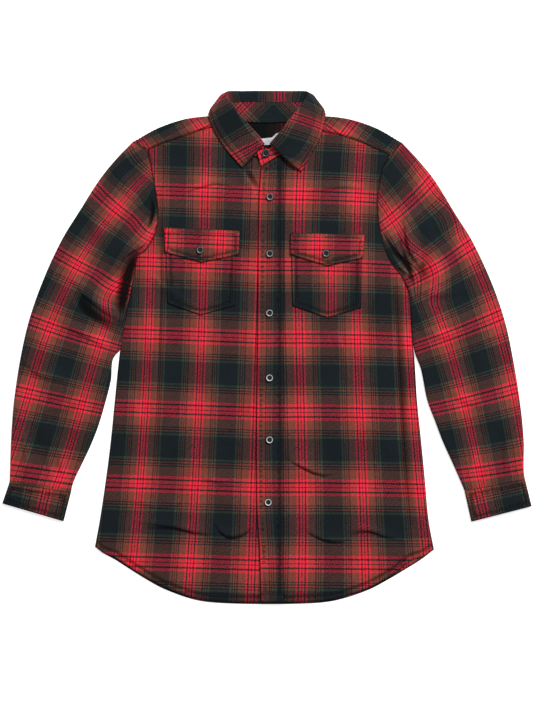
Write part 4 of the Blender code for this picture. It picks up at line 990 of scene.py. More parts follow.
MAKERS = {"flannel": brushed_flannel, "label": label_tape, "button": turned_polyester,
          "thread": spun_thread, "floor": lit_acrylic}
MADE = {}


def material(kind):
    """The finish of one kind, made the first time it is asked for."""
    if kind not in MADE:
        MADE[kind] = MAKERS[kind]()
    return MADE[kind]


# ------ laying the plaid

def plaid_terms(x, y):
    """The terms of a smooth map from places to numbers of bands."""
    x, y = np.asarray(x) / PLAID_REACH, np.asarray(y) / PLAID_REACH
    return np.stack([np.ones_like(x), x, y, x * y, y * y, x * x, x * y * y, y ** 3, x * x * y],
                    axis=-1)


def fitted_plaid(bands):
    """A function that gives the warp and weft numbers at any place, from a piece's crossings."""
    places, numbers = [], []
    for band in bands:
        for step, place in enumerate(band.places):
            places.append(place)
            numbers.append((band.warp + step, band.weft))
    places = np.array(places, float)
    terms = np.linalg.lstsq(plaid_terms(places[:, 0], places[:, 1]), np.array(numbers, float),
                            rcond=None)[0]
    return lambda x, y: plaid_terms(x, y) @ terms


def pulled_plaid(bands):
    """A sleeve's plaid, with its tucks' pulls."""
    straight_plaid = fitted_plaid(bands)

    def numbers(x, y):
        from_x, from_y = np.array(x, float), np.array(y, float)
        for pull in PULLS:
            share = hill(np.hypot(x - pull.x, y - pull.y) / pull.reach)
            from_x -= pull.by_x * share
            from_y -= pull.by_y * share
        return straight_plaid(from_x, from_y)
    return numbers


def laid_plaid(lay):
    """The numbers of a small piece, from its lay."""
    turn, lean = math.radians(lay.turn), math.radians(lay.lean)

    def numbers(x, y):
        dx, dy = x - lay.x, y - lay.y
        across = dx * math.cos(turn + lean) + dy * math.sin(turn + lean)
        down = dx * math.sin(turn) - dy * math.cos(turn)
        return np.stack((across / lay.warp, down / lay.weft), axis=-1)
    return numbers


def banded_plaid(x, y, red_x):
    """Numbers with a red warp band at red_x, whose weft matches the left front's."""
    weft = fitted_plaid(PLAID_FRONT_LEFT)(x, y)[..., 1]
    return np.stack(((x - red_x) / WARP_PITCH, weft), axis=-1)


def placket_plaid(x, y):
    """The placket's red warp band follows its own edge."""
    return banded_plaid(x, y, width_at(PLACKET_EDGE, y) - PLACKET_RED)


def pocket_left_plaid(x, y):
    """The left pocket has a red warp band down its middle."""
    return banded_plaid(x, y, POCKET_LEFT_RED)


# ------ the body

def lap_lift(x):
    """The left front's extra height, where it lies on the right one."""
    return LAP_LIFT * (1 - np.clip((x - LAP_START) / (LAP_END - LAP_START), 0, 1))


def lap_lift_left(x):
    """The lift of whichever front shows at x."""
    return np.where(x > PLACKET_EDGE[0][0], lap_lift(x), 0.0)


def front_low(x, y):
    """The underside of a single front: down to the back at the side seams, folds elsewhere."""
    near, far = np.ones(np.shape(x)), np.ones(np.shape(x))
    for side, way in ((SIDE_RIGHT, -1), (SIDE_LEFT, 1)):
        top = side[0][1]
        away = np.abs(width_at(side, y)) - np.abs(x)
        below = (np.sign(x) == way) & (y < top)
        near = np.where(below, np.maximum(ease(away / SIDE_RAMP),
                                          1 - ease((top - y) / SIDE_RAMP)), near)
        far = np.where(below, ease(away / (2 * SIDE_RAMP)), far)
    lift = folds_at(BODY_FOLDS, x, y) + size("uneven") * unevenness(x, y, reach=46, seed=3)
    seam_low = CLOTH + GAP
    return seam_low + (FRONT_LOW - seam_low) * near + np.maximum(lift, DEEPEST_BODY) * far


def flap_low(flap):
    """A flap's underside: on the front at its top edge, on the pocket from there down."""
    top = (flap[0], flap[-1])

    def low(x, y):
        over = np.clip((height_at(top, x) - y) / FLAP_DROP, 0, 1)
        return front_low(x, y) + lap_lift_left(x) + CLOTH + GAP + over * (CLOTH + GAP)
    return low


def seam_shade(distance, stitch):
    """0 to 1 of painted shade at an edge and along its stitches, where the seam and its groove lie in
    shade.
    """
    rim_shade = EDGE_SHADE * hill(distance / SHADE_REACH)
    return rim_shade + STITCH_SHADE * hill((distance - stitch) / SHADE_REACH) if stitch else rim_shade


def turned_edge(distance, stitch):
    """Relief of a turned and stitched edge: round at the rim, full to the stitches, a groove there."""
    past = 1 - np.clip(distance / size("edge_width"), 0, 1)
    relief = -size("edge_round") * (1 - np.sqrt(1 - past ** 2))
    if stitch:
        relief = relief + PILLOW * hill((distance - stitch * 0.5) / (stitch * PILLOW_REACH))
        relief = relief - GROOVE * hill((distance - stitch) / GROOVE_REACH)
    return relief


def beside(line, distances):
    """Rows of points at set distances to the left of a line, none of them too near to it."""
    rows = []
    for distance in distances:
        moved = offset(line, distance)
        near = nearest_on(line, moved[:, 0], moved[:, 1])[0]
        rows.append(moved[near > abs(distance) * 0.9])
    return rows


def within(ring, distances):
    """Rows of points at set distances inside an outline."""
    if not turns_left(ring):
        ring = ring[::-1]
    return beside(np.vstack((ring[-1:], ring, ring[:1])), distances)


def front_hem(step):
    """The fronts' lower edge, which shows the back's hem past it, most near the left side."""
    hem = smooth(HEM, step)
    most = np.exp(-((hem[:, 0] - HEM_SHOWS_X) / HEM_SHOWS_REACH) ** 2)
    ends = np.minimum((hem[:, 0] - hem[0, 0]) / 30.0, (hem[-1, 0] - hem[:, 0]) / 30.0)
    rise = (FRONT_HEM_RISE + HEM_SHOWS_MORE * most) * np.clip(ends, 0, 1)
    return hem + np.column_stack((np.zeros(len(hem)), rise))


def body_outlines(step):
    """The outlines of both fronts and of all that lies on them."""
    arm_right, arm_left = smooth(ARMHOLE_RIGHT, step), smooth(ARMHOLE_LEFT, step)
    arm_right = arm_right[arm_right[:, 1] <= YOKE_SEAM_RIGHT[-1][1] + 0.1]
    arm_left = arm_left[arm_left[:, 1] <= YOKE_SEAM_LEFT[-1][1] + 0.1]
    down = np.array((0.0, -GAP))
    yoke_right, yoke_left = smooth(YOKE_SEAM_RIGHT, step) + down, smooth(YOKE_SEAM_LEFT, step) + down
    hem = front_hem(step)
    centre = np.array([(UNDER_EDGE_X, height_at(hem, UNDER_EDGE_X))])
    edge = smooth(PLACKET_EDGE, step)
    hem_right, hem_left = hem[hem[:, 0] < UNDER_EDGE_X], hem[hem[:, 0] > UNDER_EDGE_X]
    corner = np.array([(UNDER_EDGE_X, NECK_RIGHT[0][1])])
    neck = smooth(NECK_LEFT, step)
    stitch_top = np.array([(PLACKET_STITCH_X, height_at(neck, PLACKET_STITCH_X))])
    neck_placket = np.vstack((neck[neck[:, 0] < PLACKET_STITCH_X], stitch_top))
    neck_rest = np.vstack((stitch_top, neck[neck[:, 0] > PLACKET_STITCH_X]))
    centre_line = straight(corner[0], centre[0], step)
    outlines = {
        "front_right": loop(yoke_right[-1:], arm_right[1:], smooth(SIDE_RIGHT, step), hem_right,
                            centre, centre_line[::-1], smooth(NECK_RIGHT, step)[1:], yoke_right),
        "front_left": loop(neck_placket, neck_rest, yoke_left[:-1], arm_left[:1] + down,
                           arm_left[1:], smooth(SIDE_LEFT, step), hem_left[::-1], centre,
                           edge[-1:], edge[::-1]),
        "placket": loop(edge, centre, centre_line[::-1], stitch_top, neck_placket[::-1]),
    }
    for side, (flap, pocket) in POCKETS.items():
        outlines["flap_" + side] = polygon(flap, step)
        outlines["pocket_" + side] = polygon(pocket_corners(flap, pocket), step)
    return outlines


def pocket_corners(flap, pocket):
    """A pocket's corners: its open edge runs under the flap, along the flap's top edge."""
    top = (flap[0], flap[-1])
    first, last = pocket[0][0], pocket[-1][0]
    return (((first, height_at(top, first) - FLAP_DROP),) + tuple(pocket[1:-1])
            + ((last, height_at(top, last) - FLAP_DROP),))


def pucker(x, y, line, reach, seed):
    """Small ripples across a line of stitches, which die away within reach of it."""
    distance, _, _, run = nearest_on(line, x, y)
    length = np.sum(np.linalg.norm(np.diff(line, axis=0), axis=1))
    draw = np.random.default_rng(seed)
    wave = sum(np.sin(run * length * math.tau / pitch + draw.uniform(0, math.tau))
               for pitch in (13.0, 19.0, 31.0))
    return wave / 3 * hill(distance / reach)


def hem_relief(x, y, hem, depth):
    """A turned hem: full between its edge and its stitches, with puckers along them."""
    distance = nearest_on(hem, x, y)[0]
    stitches = hem + np.array((0.0, depth))
    return (PILLOW * hill((distance - depth * 0.45) / (depth * 0.6))
            - HEM_GROOVE * hill((distance - depth) / HEM_GROOVE_REACH)
            + HEM_PUCKER * pucker(x, y, stitches, HEM_PUCKER_REACH, 11))


def build_fronts():
    """Both fronts and all that lies on them, on one shared set of points."""
    step, stitch, depth = size("panel_step"), size("stitch_in"), size("hem_depth")
    width = size("edge_width")
    outlines = body_outlines(step)
    hem = front_hem(step)
    rows = []
    for ring in outlines.values():
        rows += within(ring, (width * 0.4, width, width * 2.2))
    for name in ("pocket_right", "pocket_left", "flap_right", "flap_left"):
        rows += within(outlines[name], (stitch,))
    rows += beside(hem, (depth * 0.5, depth, depth + HEM_GROOVE_REACH))
    for x in (PLACKET_STITCH_X - stitch, PLACKET_STITCH_X - stitch * 0.5):
        rows.append(straight((x, 300.0), (x, -415.0), step))
    rows += fold_rows(BODY_FOLDS, step * 0.6)
    flat, parts = triangulate(list(outlines.values()), step, rows)
    x, y = flat[:, 0], flat[:, 1]
    low = front_low(x, y)
    creases = crease_shade(BODY_FOLDS, x, y)
    hem_lift = hem_relief(x, y, hem, depth)
    lows = {
        "front_right": low, "front_left": low + lap_lift(x),
        "placket": low + lap_lift(x) + CLOTH + GAP + hem_lift,
        "pocket_right": low + CLOTH + GAP, "pocket_left": low + lap_lift_left(x) + CLOTH + GAP,
        "flap_right": flap_low(FLAP_RIGHT)(x, y), "flap_left": flap_low(FLAP_LEFT)(x, y),
    }
    right_plaid, left_plaid = fitted_plaid(PLAID_FRONT_RIGHT), fitted_plaid(PLAID_FRONT_LEFT)
    plaids = {"front_right": right_plaid, "front_left": left_plaid, "placket": placket_plaid,
              "pocket_right": right_plaid, "pocket_left": pocket_left_plaid,
              "flap_right": laid_plaid(LAY_FLAP_RIGHT), "flap_left": laid_plaid(LAY_FLAP_LEFT)}
    for (name, ring), triangles in zip(outlines.items(), parts):
        distance = nearest_on(ring, x, y, closed=True)[0]
        wall = FLAP_WALL if name.startswith("flap") else CLOTH
        stitched = 0.0 if name.startswith("front") else stitch
        top = lows[name] + wall + turned_edge(distance, stitched)
        # painted shade along the edges and stitches, and in the troughs of the folds
        marks = np.maximum(seam_shade(distance, stitched), creases)
        if name.startswith("front"):
            top = top + hem_lift
            # painted shade in the groove along the hem's stitches
            marks = np.maximum(marks, 0.8 * hill((nearest_on(hem, x, y)[0] - depth) / 1.6))
        lay_level(name, triangles, flat, lows[name], top, plaids[name](x, y), marks)


def build_back():
    """The back panel, in one piece from the yoke seam to the hem."""
    step, edge_step = size("hidden_step"), size("panel_step")
    arm_right, arm_left = smooth(ARMHOLE_RIGHT, edge_step), smooth(ARMHOLE_LEFT, edge_step)
    arm_right = arm_right[arm_right[:, 1] <= BACK_YOKE_Y + 0.1]
    arm_left = arm_left[arm_left[:, 1] <= BACK_YOKE_Y + 0.1]
    below = np.array((0.0, -GAP))
    hem = smooth(HEM, step / 2)
    ring = loop(arm_right[:1] + below, arm_right[1:],
                offset(smooth(SIDE_RIGHT, edge_step), -BACK_SPREAD)[1:], hem[1:-1],
                offset(smooth(SIDE_LEFT, edge_step), BACK_SPREAD)[:0:-1],
                arm_left[:0:-1], arm_left[:1] + below)
    flat, parts = triangulate([ring], step, beside(hem, (1.0, 4.0, 9.0)))
    x, y = flat[:, 0], flat[:, 1]
    distance = nearest_on(ring, x, y, closed=True)[0]
    hem_distance = nearest_on(hem, x, y)[0]
    top = CLOTH + 0.5 * hill((hem_distance - 3.0) / 5.0) + turned_edge(distance, 0.0)
    # painted shade along the back's edges
    lay_level("back", parts[0], flat, 0 * x, top, laid_plaid(LAY_BACK)(x, y), seam_shade(distance, 0.0))


# ------ yoke, inner yoke and label

def build_yoke():
    """The yoke is cut flat, then folded over the shoulder line to its front strips."""
    step = size("panel_step")
    shoulder = smooth(SHOULDER, step)
    radius = FRONT_LOW / 2
    quarter = math.pi * radius / 2

    def unfold(points):
        """Places on the front strips, as they lie in the flat cut."""
        taken_up = quarter - radius - CLOTH / 2
        return np.column_stack((points[:, 0], 2 * height_at(shoulder, points[:, 0])
                                - points[:, 1] + taken_up))

    sides = {}
    for side, arm_rows, seam in (("right", ARMHOLE_RIGHT, YOKE_SEAM_RIGHT),
                                 ("left", ARMHOLE_LEFT, YOKE_SEAM_LEFT)):
        arm = smooth(arm_rows, step)
        arm = arm[arm[:, 1] >= BACK_YOKE_Y - 0.1]
        strip = arm[arm[:, 1] >= seam[-1][1] - 0.1]
        sides[side] = (arm[::-1], unfold(strip)[1:-1], unfold(smooth(seam, step))[::-1])
    back_right, strip_right, front_right = sides["right"]
    back_left, strip_left, front_left = sides["left"]
    ring = loop(back_right, strip_right, front_right, smooth(NECK_BACK, step), front_left[::-1],
                strip_left[::-1], back_left[::-1], straight(back_left[0], back_right[0], 3 * step))
    xs = np.arange(SHOULDER[0][0] - 3, SHOULDER[-1][0] + 3, step)
    rows = [np.column_stack((xs, height_at(shoulder, xs) + part * quarter))
            for part in np.linspace(-1, 1, 9)]
    seams = (front_right[::-1], front_left[::-1])
    for seam in seams:
        rows += beside(seam, [-row for row in SEAM_ROWS]) + beside(seam, SEAM_ROWS)
    flat, parts = triangulate([ring], step, rows_inside(ring, rows))
    x = flat[:, 0]
    line = height_at(shoulder, x)
    past = flat[:, 1] - line
    angle = np.clip(past / radius, -math.pi / 2, math.pi / 2)
    beyond = np.clip(past - quarter, 0, None)
    behind = np.clip(-past - quarter, 0, None)
    away = np.minimum(*(nearest_on(seam, x, flat[:, 1])[0] for seam in seams))
    sunk = np.where(past > 0, turned_edge(away, 0.0), 0.0)

    def placed(side):
        """The flat cut folded: its outer side with 1, its inner side with -1."""
        reach = radius + side * CLOTH / 2
        y = line - CLOTH / 2 - radius + reach * np.cos(angle) - beyond - behind
        z = CLOTH / 2 + radius + reach * np.sin(angle)
        return np.column_stack((x, y, z + (sunk if side > 0 else 0)))

    outer, inner = placed(1), placed(-1)
    folded = np.where((x < 0)[:, None], laid_plaid(LAY_YOKE_RIGHT)(x, outer[:, 1]),
                      laid_plaid(LAY_YOKE_LEFT)(x, outer[:, 1]))
    numbers = np.where((past > 0)[:, None], folded, laid_plaid(LAY_YOKE_BACK)(x, outer[:, 1]))
    # painted shade along the yoke's seams and their stitches
    cloth = np.column_stack((numbers, seam_shade(away, YOKE_STITCH)))
    lay_wall("yoke", parts[0][:, ::-1], outer, inner, cloth)


def build_linings():
    """The inner yoke, and the label on it."""
    flat, parts = triangulate([np.array(INNER_YOKE)], size("hidden_step") / 2, ())
    x, y = flat[:, 0], flat[:, 1]
    low = CLOTH + GAP + 0.0 * x
    top = low + LINING + 0.12 * unevenness(x, y, reach=30, seed=5)
    # The inner yoke is darkened all over with painted shade, for the collar's shadow in the neck.
    lay_level("inner_yoke", parts[0], flat, low, top, laid_plaid(LAY_INNER_YOKE)(x, y), 0 * x + 0.9)
    flat, parts = triangulate([polygon(LABEL, LABEL_STEP)], LABEL_STEP, ())
    x, y = flat[:, 0], flat[:, 1]
    loose = ease(nearest_on(LABEL, x, y, closed=True)[0] / 4)
    low = CLOTH + 2 * GAP + LINING + 0.5 * loose * (1 + unevenness(x, y, reach=14, seed=8))
    lay_level("neck_label", parts[0], flat, low, low + LABEL_WALL, 0 * flat, 0 * x, "label")


# ------ sleeves and cuffs

def pressed_tube(node, outer, end, inner, cap, wall, fold_width, top_at, plaid, marks, rows):
    """A tube of cloth flattened between two folds, outer and inner, open at end and cap.

    outer and inner run from the cap to the end; end and cap run from outer to inner."""
    ring = loop(outer, end[1:-1], inner[::-1], cap[-2:0:-1])
    edge_rows = within(ring, (fold_width * 0.12, fold_width * 0.4, fold_width))
    flat, parts = triangulate([ring], size("panel_step"), edge_rows + rows_inside(ring, rows))
    x, y = flat[:, 0], flat[:, 1]
    near_out, away_out, _, _ = nearest_on(outer, x, y)
    near_in, away_in, _, _ = nearest_on(inner, x, y)
    distance = np.minimum(near_out, near_in)
    folded = distance < 1e-3
    away = np.where((near_out < near_in)[:, None], away_out, away_in)
    away = away / np.maximum(np.linalg.norm(away, axis=1)[:, None], 1e-6)
    for line, other in ((outer, inner), (inner, outer)):
        normals = left_normals(line)
        middle = len(line) // 2
        left, right = line[middle] + normals[middle], line[middle] - normals[middle]
        if nearest_on(other, *left)[0] > nearest_on(other, *right)[0]:
            normals = -normals
        for point, normal in zip(line, normals):
            at = np.hypot(x - point[0], y - point[1]) < 1e-3
            away[at] = normal
    reach = np.clip(distance / fold_width, 0, 1)
    bulge = np.sqrt(1 - (1 - reach) ** 2)
    top = top_at(x, y)
    half = top / 2
    shifted = flat + away * (wall * (1 - reach))[:, None]
    blocks = [np.column_stack((flat, half + half * bulge)),
              np.column_stack((flat, half - half * bulge)),
              np.column_stack((shifted, half + (half - wall) * bulge)),
              np.column_stack((shifted, half - (half - wall) * bulge))]
    count = len(flat)
    numbers = [np.arange(count) + block * count for block in range(4)]
    numbers[1] = np.where(folded, numbers[0], numbers[1])
    numbers[3] = np.where(folded, numbers[2], numbers[3])
    top_out, low_out, top_in, low_in = numbers
    triangles = parts[0]
    faces = np.vstack((top_out[triangles], low_out[triangles[:, ::-1]],
                       top_in[triangles[:, ::-1]], low_in[triangles]))
    rim = rim_edges(triangles)
    rim = rim[~(folded[rim[:, 0]] & folded[rim[:, 1]])]
    a, b = rim[:, 0], rim[:, 1]
    quads = np.vstack((np.column_stack((top_out[b], top_out[a], top_in[a], top_in[b])),
                       np.column_stack((low_out[a], low_out[b], low_in[b], low_in[a]))))
    used = np.unique(np.concatenate((faces.ravel(), quads.ravel())))
    place = np.full(4 * count, -1)
    place[used] = np.arange(len(used))
    cloth = np.vstack([np.column_stack((plaid(x, y), marks(x, y)))] * 4)
    lay_cloth(node, np.vstack(blocks)[used], place[faces].tolist() + drop_doubled(place[quads]),
              cloth[used])


def drop_doubled(quads):
    """Quads as lists, with a repeated corner left out."""
    return [list(dict.fromkeys(quad)) for quad in quads.tolist()]


def seam_distance(x, y):
    """Distance to the nearer armhole."""
    return np.minimum(*(nearest_on(line, x, y)[0] for line in (ARMHOLE_RIGHT, ARMHOLE_LEFT)))


def sleeve_top(x, y):
    """The top of a sleeve, level with the front at the armhole."""
    folds = np.maximum(folds_at(SLEEVE_FOLDS, x, y), DEEPEST_SLEEVE)
    wander = size("uneven") * unevenness(x, y, reach=40, seed=7)
    near = seam_distance(x, y)
    return (FRONT_LOW + CLOTH + (folds + wander + 0.5) * ease(near / 16 + 0.25)
            + turned_edge(near, 0.0))


def crease_shade(folds, x, y):
    """Painted shade in the troughs of the folds, up to 2 in the deepest ones."""
    return 2.0 * np.clip(-folds_at(folds, x, y) / DARKEST_TROUGH, 0, 1)


def sleeve_shade(x, y):
    """Painted shade of a sleeve along its armhole and in its creases."""
    return np.maximum(seam_shade(seam_distance(x, y), 0.0), crease_shade(SLEEVE_FOLDS, x, y))


def cuff_shade(cuff):
    """Painted shade of a cuff, along its edges and its stitching."""
    return lambda x, y: seam_shade(nearest_on(cuff, x, y, closed=True)[0], size("stitch_in"))


def cuff_top(cuff):
    """A cuff's top: flat, with a stitched edge all round."""
    def top(x, y):
        distance = nearest_on(cuff, x, y, closed=True)[0]
        return (CUFF_HEIGHT - 0.2 + turned_edge(distance, size("stitch_in"))
                + 0.25 * unevenness(x, y, reach=24, seed=9))
    return top


Sleeve = namedtuple("Sleeve", "side way arm outer inner cuff plaid lay")
SLEEVES = (
    Sleeve("right", -1, ARMHOLE_RIGHT, OUTER_RIGHT, INNER_RIGHT, CUFF_RIGHT, PLAID_SLEEVE_RIGHT,
           LAY_CUFF_RIGHT),
    Sleeve("left", 1, ARMHOLE_LEFT, OUTER_LEFT, INNER_LEFT, CUFF_LEFT, PLAID_SLEEVE_LEFT,
           LAY_CUFF_LEFT),
)


def build_sleeves():
    """Each sleeve, and the cuff at its end."""
    step, stitch = size("panel_step"), size("stitch_in")
    for side, way, arm, outer, inner, cuff, bands, lay in SLEEVES:
        cap = offset(smooth(arm, step), way * SEAM_AIR)
        outer_line = smooth(outer, step)
        inner_line = offset(smooth(inner, step), way * SIDE_AIR)
        seam_out, hem_out, hem_in, seam_in = (np.array(row) for row in cuff)
        back_off = unit(seam_out - hem_out) * GAP
        outer_line[0], outer_line[-1] = cap[0], seam_out + back_off
        inner_line[0], inner_line[-1] = cap[-1], seam_in + back_off
        rows = [offset(cap, way * distance) for distance in SEAM_ROWS]
        rows += fold_rows(SLEEVE_FOLDS, step * 0.6)
        end = straight(outer_line[-1], inner_line[-1], step)
        pressed_tube("sleeve_" + side, outer_line, end, inner_line, cap, CLOTH, SLEEVE_FOLD,
                     sleeve_top, pulled_plaid(bands), sleeve_shade, rows)
        rows = [polygon(inset(cuff, distance), step) for distance in (2.0, 4.4, stitch)]
        pressed_tube("cuff_" + side, straight(seam_out, hem_out, step),
                     straight(hem_out, hem_in, step), straight(seam_in, hem_in, step),
                     straight(seam_out, seam_in, step), CUFF_WALL, CUFF_FOLD, cuff_top(cuff),
                     laid_plaid(lay), cuff_shade(cuff), rows)


# ------ the collar

def mirrored(row):
    """A row of the fall or the stand on the other side of the neck."""
    flips = {name: -getattr(row, name) for name in row._fields if name.endswith("x")}
    return row._replace(**flips)


def round_the_neck(front_right, back, front_left):
    """Rows from the right front end round the back to the left one."""
    return (list(front_right) + list(back) + [mirrored(row) for row in back[-2::-1]]
            + list(front_left[::-1]))


def fall_sections():
    """Control points of each section of the fall: seam, three at the fold, leaf and edge."""
    rows = round_the_neck(FALL_FRONT_RIGHT, FALL_BACK, FALL_FRONT_LEFT)
    up = np.array((0.0, 0.0, 1.0))
    sections = []
    for index, row in enumerate(rows):
        before, after = rows[max(index - 1, 0)], rows[min(index + 1, len(rows) - 1)]
        along = np.array((after.crest_x - before.crest_x, after.crest_y - before.crest_y, 0))
        out = np.cross(up, unit(along))
        roll = math.radians(row.roll)
        lean = up * math.cos(roll) + out * math.sin(roll)
        reach = -out * math.cos(roll) + up * math.sin(roll)
        crest = np.array((row.crest_x, row.crest_y, row.crest_z))
        sections.append(np.array((
            (row.seam_x, row.seam_y, row.seam_z), crest - (reach + lean) * ROLL_RADIUS, crest,
            crest - (reach - lean) * ROLL_RADIUS, (row.leaf_x, row.leaf_y, row.leaf_z),
            (row.edge_x, row.edge_y, row.edge_z))))
    return sections


def leaf_along(leaf, points):
    """Distances of points along a collar leaf, from its corner behind the neck."""
    return (points[:, 0] - leaf.x) * leaf.along_x + (points[:, 1] - leaf.y) * leaf.along_y


def fall_plaid(sections):
    """Warp and weft numbers at the sections' points."""
    front, back = len(FALL_FRONT_RIGHT), 2 * len(FALL_BACK) - 1
    numbers = []
    for index, section in enumerate(sections):
        inward = run_along(section[::-1])[::-1]
        if index < front:
            warp = knots(LEAF_RIGHT_WARP, leaf_along(LEAF_RIGHT, section))
        elif index < front + back:
            warp = np.full(len(section), BACK_FALL_WARP[index - front])
        else:
            warp = knots(LEAF_LEFT_WARP, leaf_along(LEAF_LEFT, section))
        weft = knots(LEAF_RIGHT_WEFT if index < len(sections) / 2 else LEAF_LEFT_WEFT, inward)
        if index >= front + back:
            along = leaf_along(LEAF_LEFT, section)
            weft -= LEAF_LEFT_PULL * ease((along - LEAF_PULL_FROM) / LEAF_PULL_OVER)
        round_back = (index - front) / (back - 1)
        weft += BACK_FALL_WEFT * ease(min(round_back, 1 - round_back) * BACK_FALL_OVER)
        numbers.append(np.column_stack((warp, weft)))
    return numbers


def dense_rows(sections, steps):
    """The sections with more rows between each two."""
    lines = [curve_through(line, (steps,) * (len(sections) - 1)) for line in zip(*sections)]
    return np.stack(lines, axis=1)


def edge_columns(section):
    """A section with points at EDGE_DISTANCES from its free end and evenly beyond them."""
    run = run_along(section[::-1, :3])
    rest = np.linspace(EDGE_DISTANCES[-1], run[-1], COLLAR_COLUMNS)[1:]
    places = np.concatenate((EDGE_DISTANCES, rest))
    columns = [np.interp(places, run, section[::-1, index]) for index in range(section.shape[1])]
    return np.stack(columns, axis=1)[::-1]


def lay_loft(node, grid, thickness, relief):
    """A closed wall of cloth on a grid of middle points with cloth numbers.

    relief is how far the outer side stands proud of half the thickness."""
    rows, columns = grid.shape[:2]
    middle = grid[:, :, :3]
    along, across = np.gradient(middle, axis=0), np.gradient(middle, axis=1)
    normal = np.cross(across, along)
    normal /= np.linalg.norm(normal, axis=2)[:, :, None]
    outer = middle + normal * (thickness / 2 + relief)[:, :, None]
    inner = middle - normal * (thickness / 2)
    outer[:, :, 2], inner[:, :, 2] = np.maximum(outer[:, :, 2], 0), np.maximum(inner[:, :, 2], 0)
    a = (np.arange(rows - 1)[:, None] * columns + np.arange(columns - 1)[None, :]).ravel()
    triangles = np.vstack((np.column_stack((a, a + 1, a + columns + 1)),
                           np.column_stack((a, a + columns + 1, a + columns))))
    lay_wall(node, triangles, outer.reshape(-1, 3), inner.reshape(-1, 3),
             grid[:, :, 3:].reshape(-1, 3))


def stand_plaid(points):
    """The stand is cut on the bias, its two halves meeting in a point; its end is on grain."""
    dx, dy = np.abs(points[..., 0] - BIAS_TOP_X), points[..., 1] - BIAS_TOP_Y
    warp = BIAS_WARP - (dx + dy) / math.sqrt(2) / WARP_PITCH
    weft = BIAS_WEFT - (dx - dy) / math.sqrt(2) / WEFT_PITCH
    tab = laid_plaid(LAY_TAB)(points[..., 0], points[..., 1])
    at_end = ease((BIAS_TOP_Y - TAB_FROM - points[..., 1]) / TAB_OVER)[..., None]
    return np.stack((warp, weft), axis=-1) * (1 - at_end) + tab * at_end


def build_collar():
    """The collar's fall."""
    sections = fall_sections()
    dressed = [np.column_stack((curve_through(section, FALL_COUNTS),
                                curve_through(numbers, FALL_COUNTS)))
               for section, numbers in zip(sections, fall_plaid(sections))]
    fall = np.stack([edge_columns(row) for row in dense_rows(dressed, ROW_STEPS)])
    distance = np.full(fall.shape[1], FAR_IN)
    distance[:len(EDGE_DISTANCES)] = EDGE_DISTANCES
    distance = distance[::-1]
    stitch = EDGE_DISTANCES[STITCH_COLUMN]
    ends = np.array([min(row, len(fall) - 1 - row) for row in range(len(fall))]) * END_ROW_STEP
    relief = turned_edge(distance, stitch)[None, :] + turned_edge(ends, stitch)[:, None]
    # painted shade along the collar's edges and its topstitching
    marks = np.maximum(seam_shade(distance, stitch)[None, :], seam_shade(ends, stitch)[:, None])
    lay_loft("collar", np.concatenate((fall, marks[:, :, None]), axis=2), FALL_WALL, relief)


def build_stand():
    """The collar's stand, which ends just below the fall's seam."""
    stand = []
    necks = round_the_neck(STAND_FRONT_RIGHT, STAND_BACK, STAND_FRONT_LEFT)
    airs = STAND_AIR + STAND_BACK_AIR + STAND_BACK_AIR[-2::-1] + STAND_AIR
    for neck, section, air in zip(necks, fall_sections(), airs):
        low, seam, stand_side = np.array(neck), section[0], section[1]
        reach = unit(seam - low)
        bend = math.acos(min(1.0, float(reach @ unit(stand_side - seam))))
        short = GAP + FALL_WALL * math.tan(bend / 2)
        stand.append(stand_section(low, seam - reach * short, air))
    tabs = [stand_section(np.array(tab[:3]), np.array(tab[3:]), STAND_AIR[0])
            for tab in (STAND_TAB_RIGHT, STAND_TAB_LEFT)]
    rows = np.vstack((tabs[:1], dense_rows(stand, ROW_STEPS), tabs[1:]))
    level = np.zeros(rows.shape[:2])
    grid = np.concatenate((rows, stand_plaid(rows), level[:, :, None]), axis=2)
    lay_loft("collar_stand", grid, STAND_WALL, level)


def stand_section(low, top, air):
    """A section of the stand, from near its lower seam to its top."""
    start = low + unit(top - low) * air
    start[2] += STAND_RISE * max(0.0, STAND_AIR[0] - air)
    return start + (top - start) * np.linspace(0, 1, STAND_STEPS + 1)[:, None]


# ------ buttons

